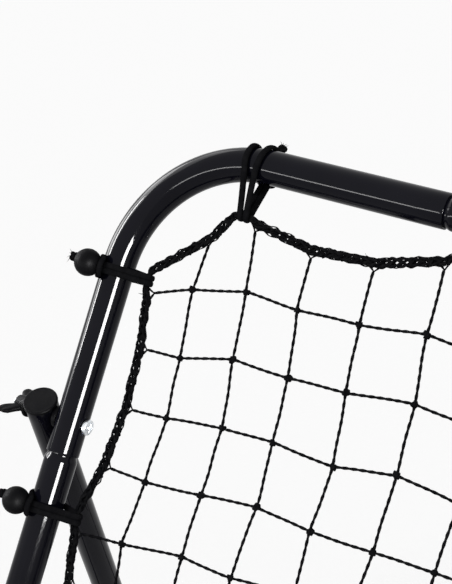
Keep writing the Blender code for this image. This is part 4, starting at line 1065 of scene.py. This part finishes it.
# %% [markdown]
# ## Twine
# Each row and each column of the net is one twine of two twisted plies. Two thin strands could be wound round
# each other. Here the twist is in the section, an oval that turns as it goes along, for half the faces. Near
# the border each strand ends in a fork.

# %% Strands
TWINE_RADIUS = 0.0010
PLY_PITCH = 0.0064
FORK_FROM_BORDER = 0.0058


def along_path(path, step):
    """Points at equal steps along a path, and their distances."""
    lengths = np.concatenate([[0], np.cumsum(np.linalg.norm(np.diff(path, axis=0), axis=1))])
    places = np.linspace(0, lengths[-1], max(3, int(lengths[-1] / step)))
    return np.stack([np.interp(places, lengths, values) for values in path.T], axis=1), places


def rope(path, distance, radius, up, sides=7, plies=0.24, pitch=PLY_PITCH, loop=False):
    """A strand along a path, in an array of points. up is a direction, or one at each point.

    Its section is an oval: the radius times one plus plies times the cosine of twice the angle. The oval
    turns once in two pitches.
    """
    around = np.roll(path, -1, axis=0) - np.roll(path, 1, axis=0)
    way = unit(around if loop else np.gradient(path, axis=0))
    up = unit(up - way * np.sum(up * way, axis=1, keepdims=True))
    turn = full_turn(sides)
    twist = distance[:, None] / pitch * math.pi
    reach = np.broadcast_to(radius, (len(path),))[:, None] * (1 + plies * np.cos(2 * (turn - twist)))
    rings = ring_points(path, up, np.cross(way, up), reach * np.cos(turn), reach * np.sin(turn))
    return skin(rings, distance, loop)


def net_strand(places, number):
    """One row or column of twine, with a slight waver of its own: a few small sines of the distance."""
    flat, distance = along_path(places, 0.0017)
    waver = 0.00035 * np.sin(distance / 0.013 + number * 2.1) + 0.00025 * np.sin(distance / 0.0047 + number)
    path = in_net(flat, waver)
    path[:, 0] += 0.0003 * np.sin(distance / 0.009 + number * 1.3)
    path[:, 2] += 0.0003 * np.sin(distance / 0.0101 + number * 1.7)
    return rope(path, distance, TWINE_RADIUS, Y)


def forked(ends, inner):
    """Where each strand forks, a little way from its end on the border towards its last knot."""
    return ends + unit(inner - ends) * FORK_FROM_BORDER


left_forks, right_forks = forked(lefts, knots[:, 0]), forked(rights, knots[:, -1])
top_forks, bottom_forks = forked(tops, knots[0]), forked(bottoms, knots[-1])
row_twines = [net_strand(np.vstack([left_forks[r], knots[r], right_forks[r]]), r) for r in range(NET_ROWS)]
column_twines = [net_strand(np.vstack([top_forks[c], knots[:, c], bottom_forks[c]]), c + NET_ROWS)
                 for c in range(NET_COLUMNS)]
print("strands across and down:", len(row_twines), len(column_twines))

# %% [markdown]
# ## Knots
# A knot is a small lump with a turn of twine round it, leaning one way in one row and the other way in the
# next, as a netting needle leaves it. The true path of a netting knot could be followed, but there are
# hundreds of them, so each has only a few dozen faces.


# %% Lumps of the knots
def lumps(centres):
    """Knots: balls of 8 by 5 points pulled to ovals that lean, each a bit different, in a turn of twine."""
    polar, turn = np.linspace(0.28, math.pi - 0.28, 5)[:, None], full_turn(8)
    ball = np.stack([np.sin(polar) * np.cos(turn), np.sin(polar) * np.sin(turn), np.cos(polar) + 0 * turn],
                    axis=-1)
    a = full_turn(10)[:, None]
    made = []
    for i, centre in enumerate(centres):
        wobble = 1 + 0.14 * np.sin(ball @ np.array([3.1, 2.3, 4.7]) + i * 1.9)
        lean = (0.7 if (i // NET_COLUMNS) % 2 else -0.7) + 0.3 * math.sin(i * 2.7)
        long_way = np.array([math.cos(lean), 0.0, math.sin(lean)])
        short_way = np.array([-math.sin(lean), 0.0, math.cos(lean)])
        shape = ball * wobble[..., None] * (1.12 + 0.12 * math.sin(i * 5.3))
        axes = np.stack([0.0021 * short_way, 0.0019 * Y, 0.0027 * long_way])
        made.append(skin(centre + shape @ axes, np.linspace(0, 0.006, 5)))
        around = np.cos(a) * short_way * 0.0022 + np.sin(a) * Y * 0.0020
        around = around + (0.0007 + 0.0006 * np.sin(a + i)) * long_way
        made.append(rope(centre + around, np.arange(10) * 0.0013, 0.00085, around, 5, 0.0, loop=True))
    return made


knot_lumps = lumps(in_net(knots.reshape(-1, 2)))
print("skins of the knots:", len(knot_lumps))

# %% [markdown]
# ## The line of the net's border
# The border runs through the strands' ends, straight past each tie and in a scallop between ties. Corners
# are taken off with a short moving average. A tie pulls the border's twines together, so a squeeze is worked
# out for every point from its distance to the nearest tie.

# %% Border line
BORDER_STEP = 0.0016
TIE_SQUEEZE, SQUEEZE_REACH = 0.62, 0.009


def edge_order(ends, ties, depths, axis):
    """An edge's strand ends with the two ends of each tie's short straight, sorted along the edge."""
    along = np.tile(ties, 2) + np.repeat([-TIE_STRETCH, TIE_STRETCH], len(ties))
    tied = np.stack([along, np.tile(depths, 2)], axis=1)
    both = np.vstack([ends, tied if axis == 0 else tied[:, ::-1]])
    return both[np.argsort(both[:, axis])]


top_order = edge_order(tops, rail_ties, RAIL_TIES_TO_BORDER, 0)
bottom_order = np.stack([top_order[::-1, 0], NET_HEIGHT - top_order[::-1, 1]], axis=1)
left_order = edge_order(lefts, side_ties, SIDE_TIES_TO_BORDER, 1)[::-1]
right_order = edge_order(rights, side_ties, PANEL_WIDTH - SIDE_TIES_TO_BORDER, 1)
outline = np.vstack([top_order, right_order, bottom_order, left_order, top_order[:1]])
border_flat, border_at = (values[:-1] for values in along_path(outline, BORDER_STEP))
window = np.array([1, 3, 5, 3, 1]) / 13
border_flat = sum(weight * np.roll(border_flat, shift, axis=0) for weight, shift in zip(window, range(-2, 3)))
border_length = border_at[-1] + BORDER_STEP
tie_spots = np.concatenate([
    np.stack([rail_ties, RAIL_TIES_TO_BORDER], axis=1),
    np.stack([rail_ties, NET_HEIGHT - RAIL_TIES_TO_BORDER], axis=1),
    np.stack([SIDE_TIES_TO_BORDER, side_ties], axis=1),
    np.stack([PANEL_WIDTH - SIDE_TIES_TO_BORDER, side_ties], axis=1),
])
from_tie = np.linalg.norm(border_flat[:, None] - tie_spots[None], axis=2).min(axis=1)
squeeze = 1 - TIE_SQUEEZE * np.exp(-(from_tie / SQUEEZE_REACH) ** 2)
border_way = unit(np.roll(in_net(border_flat), -1, axis=0) - np.roll(in_net(border_flat), 1, axis=0))
border_beside = np.cross(border_way, Y)
print(f"border length {border_length:.3f} m")

# %% [markdown]
# ## The net's border
# The border is a thick edge of several twines laced together: four that weave through each other as in a
# plait, two thin ones along its edges and one wound round them all. An array of copies would look machined.
# Here their swing grows and shrinks along the way, so that small gaps open between them.


# %% Border twines
def drifting(cycles, size, start=0.0):
    """A wave along the border with a whole number of cycles."""
    return size * np.sin(2 * math.pi * cycles * border_at / border_length + start)


def cycling(period):
    """An angle that grows by whole turns round the border, one in about a period."""
    return border_at / border_length * 2 * math.pi * round(border_length / period)


def on_border(at, values=border_flat):
    """What a list of points along the border gives at some distances."""
    return np.stack([np.interp(at, border_at, row, period=border_length) for row in values.T], axis=-1)


def beside_border(offset, lift, radius, sides):
    """A twine that runs along the border at an offset across it and a lift out of the net's plane."""
    path = in_net(border_flat) + (offset * squeeze)[:, None] * border_beside + (lift * squeeze)[:, None] * Y
    return rope(path, border_at, radius, Y, sides, loop=True)


def plait(cords=4, swing=0.0023, lift=0.0010, period=0.026, radius=0.00108):
    """Twines of the border. Each swings sideways as a sine and up and down at twice that rate."""
    phase = drifting(29, 0.6) + cycling(period)
    swing = swing * (1 + drifting(41, 0.16) + drifting(97, 0.10))
    turns = [phase + cord * 2 * math.pi / cords for cord in range(cords)]
    return [beside_border(np.sin(turn) * swing, np.sin(2 * turn + 0.4) * lift, radius, 7) for turn in turns]


def edge_loops(middle=0.0030, swing=0.0006, period=0.0115, radius=0.00052):
    """Two thin twines along the border's edges, in and out of the plait, which leaves small holes."""
    made = []
    for side, shift in ((-1, 0.0), (1, 2.0)):
        phase = drifting(17, 1.6, shift) + cycling(period)
        open_here = 0.75 + drifting(23, 0.45, shift * 2) + drifting(61, 0.25)
        offset = side * (middle + swing * open_here * np.sin(phase + shift))
        made.append(beside_border(offset, 0.0007 * np.cos(phase * 0.5), radius, 5))
    return made


def lacing(pitch=0.0120, wide=0.0030, deep=0.0019, radius=0.00062):
    """A thin twine wound round the border: a flat helix whose pitch drifts."""
    turns = round(border_length / pitch)
    angle = np.linspace(0, 2 * math.pi * turns, turns * 14, endpoint=False)
    at = angle / (2 * math.pi * turns) * border_length
    at = at + 0.002 * np.sin(at * 2 * math.pi * 53 / border_length)
    path = in_net(on_border(at))
    beside = np.cross(unit(in_net(on_border(at + 0.002)) - path), Y)
    wobble = 1 + 0.16 * np.sin(angle * 0.37) + 0.08 * np.sin(angle * 1.31)
    tight = on_border(at, squeeze[:, None])[:, 0]
    around = (np.cos(angle) * wide * wobble * tight)[:, None] * beside + (np.sin(angle) * deep)[:, None] * Y
    return rope(path + around, angle * 0.0042, radius, around, 5, 0.1, loop=True)


border_twines = plait() + edge_loops() + [lacing()]
print("twines of the border:", len(border_twines))

# %% [markdown]
# ## Forks and loose ends
# Where a strand meets the border it opens into two arms that run into it both ways, and here and there an end
# sticks out. Hair could give such fibres, but a few bent twines are enough. With them the three pieces of the
# net are complete.


# %% Forks, loose ends and the net's pieces
def tufts(count=34):
    """Loose ends: short bent twines that leave the border at odd angles and taper off."""
    numbers = np.arange(count)
    at = (numbers + 0.5 + 0.35 * np.sin(numbers * 12.9)) / count * border_length
    share = np.linspace(0, 1, 6)[:, None]
    made = []
    for i, base in zip(numbers, in_net(on_border(at))):
        angle = i * 2.4
        way = np.array([math.cos(angle), -0.4 + 0.5 * math.sin(i * 1.7), math.sin(angle)])
        bend = np.array([math.sin(angle * 1.7), 0.3, math.cos(angle * 2.3)])
        size = 0.0055 + 0.002 * math.sin(i * 3.3)
        path = base + share * way * size + share ** 2 * bend * size * 0.4
        made.append(rope(path, share[:, 0] * size, 0.0005 * (1.15 - share[:, 0]), X + Z, 5, 0.0))
    return made


def forks(ends, apexes, reach=6):
    """The two arms of each strand's end. They leave the fork and run into the border both ways."""
    t = np.arange(-reach, reach + 1)
    nearest = np.linalg.norm(border_flat[None] - ends[:, None], axis=2).argmin(axis=1)
    pull = ((1 - np.abs(t) / reach) ** 1.5)[:, None]
    paths = border_flat[(nearest[:, None] + t) % len(border_flat)]
    paths = in_net(paths + (apexes - border_flat[nearest])[:, None] * pull, 0.0004)
    return [rope(path, t * BORDER_STEP, 0.00075, Y, 6) for path in paths]


fork_arms = (forks(lefts, left_forks) + forks(rights, right_forks) + forks(tops, top_forks)
             + forks(bottoms, bottom_forks))
net_parts = {"net_rows": row_twines + knot_lumps, "net_columns": column_twines + fork_arms,
             "net_border": border_twines + tufts()}
for name, skins in net_parts.items():
    made = piece(name, "net", skins, [net_twine], crease=180)
    print(name, "faces:", len(made.data.polygons))

# %% [markdown]
# ## Elastic ties
# A tie is a ball on a loop of elastic, which lies tight on the tube. A rope simulation could settle it there.
# The photograph already shows where it lies, so its curve is a spline that follows controls in the tie's
# plane, and controls inside the tube are pushed out to its skin.

# %% Spline and controls
CORD_FLATNESS = 0.18
CORD_ON_TUBE = TUBE_RADIUS + 0.0001 + TIE_CORD_RADIUS * (1 - CORD_FLATNESS)


def spline(controls, steps):
    """A smooth curve near its controls: each point blends four neighbours with cubic weights."""
    controls = np.vstack([controls[:1], controls[:1], controls, controls[-1:], controls[-1:]])
    t = np.linspace(0, 1, steps, endpoint=False)[None, :, None]
    a, b, c, d = (controls[i:len(controls) - 3 + i][:, None] for i in range(4))
    points = ((1 - t) ** 3 * a + (3 * t ** 3 - 6 * t ** 2 + 4) * b
              + (-3 * t ** 3 + 3 * t ** 2 + 3 * t + 1) * c + t ** 3 * d) / 6
    return points.reshape(-1, controls.shape[1])


def direction(angle):
    """The way at an angle from outward towards the ball's side, as (outward, front)."""
    return np.stack([np.cos(angle), np.sin(angle)], axis=-1)


def controls(along, points, centre=(0.0, 0.0)):
    """Controls of a tie's curve: place along the tube, (outward, front), and the way out from centre."""
    points = np.atleast_2d(points)
    along = np.broadcast_to(along, len(points))
    return np.column_stack([along, points, np.zeros(len(points)), unit(points - np.array(centre))])


def outside_tube(points):
    """Points of the tie's plane, those inside the tube pushed out to lie on it."""
    reach = np.linalg.norm(points, axis=1, keepdims=True)
    return points * np.maximum(1, CORD_ON_TUBE * 1.01 / reach)


print("points of a spline with four controls:", len(spline(np.eye(4), 7)))

# %% [markdown]
# ## The way of a tie
# Both strands leave the ball, go to the net's border, round it, come back on the other side of the tube and
# hook over the ball's neck. Two loops could stand for that, but the real cord is one. So it is one curve here
# too, from the ball back to the ball, and its second half mirrors the first.

# %% Tie curve
BALL_RADIUS = 0.0103
BALL_REACH = SEAT + 0.0008 + BALL_RADIUS
CORD_ON_BORDER = 0.0028
NECK_FROM_BALL = BALL_RADIUS + 0.0016
HOOK_WIDTHS = (0.0064, 0.0052, 0.0020)


def tie_curve(ball_turn, bore_turn, to_border, widths):
    """Half of a tie's cord, from inside the ball to the middle of the hook round its neck.

    widths are the half distances of the two strands at the neck, the border, where they meet the tube,
    on its inner side and over it.
    """
    at_neck, at_border, at_leaving, at_front, over_tube = widths
    ball, bore = direction(ball_turn) * BALL_REACH, direction(bore_turn)
    neck = ball - bore * NECK_FROM_BALL
    off = np.array([-bore[1], bore[0]])
    centre = np.array([-to_border, 0.0])
    leave = math.acos(-(CORD_ON_TUBE - CORD_ON_BORDER) / to_border)
    arrive = centre + direction(leave) * CORD_ON_BORDER
    share = np.linspace(0, 1, 7)[1:-1, None]
    around = np.linspace(leave, 2 * math.pi - leave, 6)
    back = np.arange(-leave, ball_turn - math.radians(22), math.radians(16))
    width = np.interp(back, [-leave, -math.pi / 2, 0.0], [at_leaving, at_front, over_tube])
    hooked = [direction(ball_turn) * CORD_ON_TUBE * 1.03, neck, neck + off * 0.0030, neck + off * 0.0043]
    return np.vstack([
        controls(at_neck, [ball, ball - bore * 0.006, neck]),
        controls(at_neck + (at_border - at_neck) * share[:, 0], outside_tube(neck + (arrive - neck) * share)),
        controls(at_border, centre + direction(around) * CORD_ON_BORDER * 1.09, centre),
        controls(width, direction(back) * CORD_ON_TUBE * 1.014),
        controls([over_tube, *HOOK_WIDTHS], hooked),
    ])


def tie_cord(*sizes):
    """The whole cord: one half, then the other half mirrored along the tube and run backwards."""
    half = tie_curve(*sizes)
    return spline(np.vstack([half, half[::-1] * np.array([-1, 1, 1, 1, 1, 1])]), 7)


# %% [markdown]
# ## Ball and knot
# The ball is moulded in two halves, so it has a fine seam round its middle and a dimple at each end of its
# bore. The two ends of the cord come out of the far end and are tied in a knot, whose curve is a trefoil,
# with a frayed tuft.


# %% Ball and knot shapes
def ball_shape(centre, axis):
    """Radius by the angle from the axis: a sphere, less a dimple at both poles, plus a thin seam."""
    near_pole = np.array([0.02, 0.1, 0.17, 0.22, 0.27])
    polar = np.concatenate([near_pole, np.linspace(0.33, math.pi - 0.33, 23), math.pi - near_pole[::-1]])
    across = unit(np.cross(axis, X + 0.3 * Y))
    turn = full_turn(36)
    dimple = 0.0011 * (1 - smooth((np.minimum(polar, math.pi - polar) - 0.12) / 0.14))
    radius = (BALL_RADIUS - dimple)[:, None] + 0.00012 * np.exp(-(np.sin(turn) / 0.06) ** 2)[None]
    flat, high = radius * np.sin(polar)[:, None], radius * np.cos(polar)[:, None]
    rings = ring_points(centre, across, np.cross(axis, across), flat * np.cos(turn), flat * np.sin(turn))
    return skin(rings + high[..., None] * axis, polar * BALL_RADIUS, finish=1)


def end_knot(ball, axis, reach, seed):
    """Two cord ends out of the ball, a trefoil of cord at reach and a few fibres that splay from it."""
    across = unit(np.cross(axis, X + 0.3 * Y))
    normal = np.cross(axis, across)
    centre = ball + axis * reach
    stem = np.linspace(BALL_RADIUS - 0.003, reach, 5)[:, None]
    made = [rope(ball + stem * axis + across * offset, stem[:, 0], TIE_CORD_RADIUS * 0.9, normal, 10, 0.0)
            for offset in (-0.0011, 0.0011)]
    t = (np.linspace(0, 2 * math.pi, 54, endpoint=False) + seed)[:, None]
    trefoil = 0.00080 * ((np.sin(t) + 2 * np.sin(2 * t)) * across + (np.cos(t) - 2 * np.cos(2 * t)) * normal
                         - 1.5 * np.sin(3 * t) * axis)
    step = np.linalg.norm(np.roll(trefoil, -1, axis=0) - trefoil, axis=1)
    made.append(rope(centre + trefoil, np.cumsum(step), 0.00165, trefoil + axis * 0.001, 10, 0.0, loop=True))
    share = np.linspace(0, 1, 6)[:, None]
    for i in range(6):
        angle = seed * 3 + i * 1.05
        way = axis * 0.6 + across * math.cos(angle) + normal * math.sin(angle) * 0.5
        fibre = centre + axis * 0.0012 + share * way * (0.0055 + 0.0012 * math.sin(i * 4.1 + seed))
        fibre = fibre + share ** 2 * across * 0.0022
        made.append(rope(fibre, share[:, 0] * 0.006, 0.00032 * (1.2 - share[:, 0]), normal, 5, 0.0))
    return made


# %% [markdown]
# ## Ties in their place
# The rails' ties have their ball behind the bar and the sides' ties theirs in front. Both kinds come from one
# function. The first and the last tie of the top bar sit where the corner begins to bend, so their loops
# drop with the tube there.

# %% Ties
RAIL_TIE = {"ball": math.radians(84), "bore": math.radians(27), "knot_way": math.radians(10), "lean": 0.0,
            "knot": 0.0162, "widths": (0.0023, 0.0024, 0.0040, 0.0052, 0.0069)}
SIDE_TIE = {"ball": math.radians(49), "bore": math.radians(8.5), "knot_way": math.radians(8.5), "lean": 0.12,
            "knot": 0.0122, "widths": (0.0020, 0.0021, 0.0028, 0.0040, 0.0068)}
UNTWISTED = 1e6


def bend_drop(path):
    """How far the top bar's axis drops where the corner bend has begun, fading out towards the border."""
    into = np.clip(np.abs(path[:, 0]) - (HALF_WIDTH - BEND_RADIUS), 0, BEND_RADIUS)
    near = smooth((path[:, 2] - (HINGE_TO_TOP_RAIL - 0.030)) / 0.020)
    return (BEND_RADIUS - np.sqrt(BEND_RADIUS ** 2 - into ** 2)) * near


def tie(name, place, along, outward, front, to_border, kind, seed):
    """One tie on a tube at place. front is the side where its strands leave the ball."""
    curve = tie_cord(kind["ball"], kind["bore"], to_border, kind["widths"])
    axes = np.stack([along, outward, front])
    path = place + curve[:, :3] @ axes
    if name in ("top_tie_1", "top_tie_5"):
        path[:, 2] -= bend_drop(path)
    distance = np.concatenate([[0], np.cumsum(np.linalg.norm(np.diff(path, axis=0), axis=1))])
    cord = rope(path, distance, TIE_CORD_RADIUS, curve[:, 3:] @ axes, 14, -CORD_FLATNESS, UNTWISTED)
    ball = place + direction(kind["ball"]) @ axes[1:] * BALL_REACH
    axis, knot_axis = (unit(direction(kind[way]) @ axes[1:] + along * kind["lean"])
                       for way in ("bore", "knot_way"))
    skins = [cord, ball_shape(ball, axis)] + end_knot(ball, knot_axis, kind["knot"], seed)
    piece(f"{name}_elastic", name, skins, [tie_elastic, ball_plastic], crease=180)
    return distance[-1]


lengths = []
for word, height, way in (("top", HINGE_TO_TOP_RAIL, 1), ("bottom", CROSSBAR_ABOVE_HINGE, -1)):
    for number, (x, to_border) in enumerate(zip(rail_ties, RAIL_TIES_TO_BORDER), 1):
        place = X * (x - HALF_WIDTH) + Z * height
        lengths.append(tie(f"{word}_tie_{number}", place, X, Z * way, Y, to_border, RAIL_TIE, number * 1.7))
for word, side in SIDES:
    for number, (y, to_border) in enumerate(zip(side_ties, SIDE_TIES_TO_BORDER), 1):
        place = X * side * HALF_WIDTH + Z * (HINGE_TO_TOP_RAIL - y)
        lengths.append(tie(f"{word}_tie_{number}", place, Z, X * side, -Y, to_border, SIDE_TIE, number * 2.3))
print("cord in a tie:", round(min(lengths), 3), "to", round(max(lengths), 3), "m, pieces:", len(pieces))

# %% [markdown]
# ## Floor
# The photograph has a plain white ground. The floor is a little less than white, so that it keeps the
# object's shadow, and gives off just enough light to the camera alone to look white.

# %% Floor
FLOOR_REACH = 30
floor_mesh = bpy.data.meshes.new("floor")
floor_corners = [(x * FLOOR_REACH, y * FLOOR_REACH, 0) for x, y in ((-1, -1), (1, -1), (1, 1), (-1, 1))]
floor_mesh.from_pydata(floor_corners, [], [(0, 1, 2, 3)])
floor = linked("floor", floor_mesh)
floor.location.z = -0.0005
floor_paint, tree, shader = new_finish("pale_floor", (0.86, 0.86, 0.86), 0.9, Specular_IOR_Level=0.0)
seen = node(tree, "ShaderNodeLightPath").outputs["Is Camera Ray"]
tree.links.new(stretched(tree, seen, 0.0, 1.0, 0.0, 0.22), shader.inputs["Emission Strength"])
shader.inputs["Emission Color"].default_value = (1, 1, 1, 1)
floor_mesh.materials.append(floor_paint)
floor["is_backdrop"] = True
print("floor", 2 * FLOOR_REACH, "m wide")

# %% [markdown]
# ## Sky and sun
# The soft level comes from a pale sky and one wide sun. The camera, mirrors and glass see the sky as plain
# white, while it lights the object at about half of that.

# %% Sky and sun
world = bpy.data.worlds.new("studio")
world.use_nodes = True
bpy.context.scene.world = world
tree = world.node_tree
background = tree.nodes["Background"]
background.inputs["Color"].default_value = (1, 1, 1, 1)
rays = node(tree, "ShaderNodeLightPath").outputs
shown = calculated(tree, "MAXIMUM", rays["Is Camera Ray"], rays["Is Glossy Ray"])
shown = calculated(tree, "MAXIMUM", shown, rays["Is Transmission Ray"])
tree.links.new(stretched(tree, shown, 0.0, 1.0, 0.55, 1.0), background.inputs["Strength"])

sun_data = bpy.data.lights.new("sun", "SUN")
sun_data.energy = 1.3
sun_data.angle = math.radians(25)
sun = linked("sun", sun_data)
sun.rotation_euler = (math.radians(38), math.radians(-16), 0)
sun.visible_glossy = False
bpy.context.scene.view_settings.view_transform = "Standard"
print("sun strength", round(sun_data.energy, 2))

# %% [markdown]
# ## Long lamps
# Gloss black shows its round shape through narrow bright lines, which are the reflections of long lamps. A
# tube keeps the part of the view that runs along it, so where a line ends on the bend is set by the end of
# its lamp. The right strip gives the line on the side tube, the left strip the one on the rail, and the
# walls on the left the pale band at the outer edge. Only reflections see these lamps, so the black stays.


# %% Lamps
def strip(name, way, distance, size, power, long_way):
    """A long lamp that only reflections see, so far off in a direction from just below the panel's corner."""
    data = bpy.data.lights.new(name, "AREA")
    data.shape = "RECTANGLE"
    data.size, data.size_y = size
    data.energy = power
    lamp = linked(name, data)
    way, long_way = unit(np.array(way, float)), np.array(long_way, float)
    upright = unit(long_way - way * (long_way @ way))
    set_up(lamp, corner - Z * 0.1 + way * distance, [np.cross(upright, way), upright, way])
    lamp.visible_diffuse = False


strip("right_strip", (1.757, -1.555, 0.535), 2.406, (0.80, 0.85), 290, PANEL_AXES[2])
strip("left_strip", (-0.45, -0.89, -0.05), 2.4, (2.6, 0.20), 45, PANEL_AXES[2])
strip("left_wall", (-1.49, -0.13, 0.12), 1.50, (1.1, 0.43), 14, Z)
strip("left_wall_middle", (-1.49, 0.0, 0.60), 1.606, (1.5, 0.5), 18, Z)
strip("left_wall_edge", (-1.49, -0.49, 0.42), 1.624, (0.12, 0.75), 25, (0, 0.59, 0.81))
strip("left_wall_above", (-1.49, 0.37, 1.10), 1.89, (1.8, 0.55), 7, Z)
print("lamps:", [light.name for light in bpy.data.lights])

# %% [markdown]
# ## Sizes and finish
# The last step works out the dressed model's box and prints, in mm, how far each of its two corners lies
# from the CAD model's box.

# %% Sizes and finish
dressed_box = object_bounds()
growth = [round((b - a) * 1000, 1) for low, high in zip(cad_box, dressed_box) for a, b in zip(low, high)]
print("grows by mm:", growth)
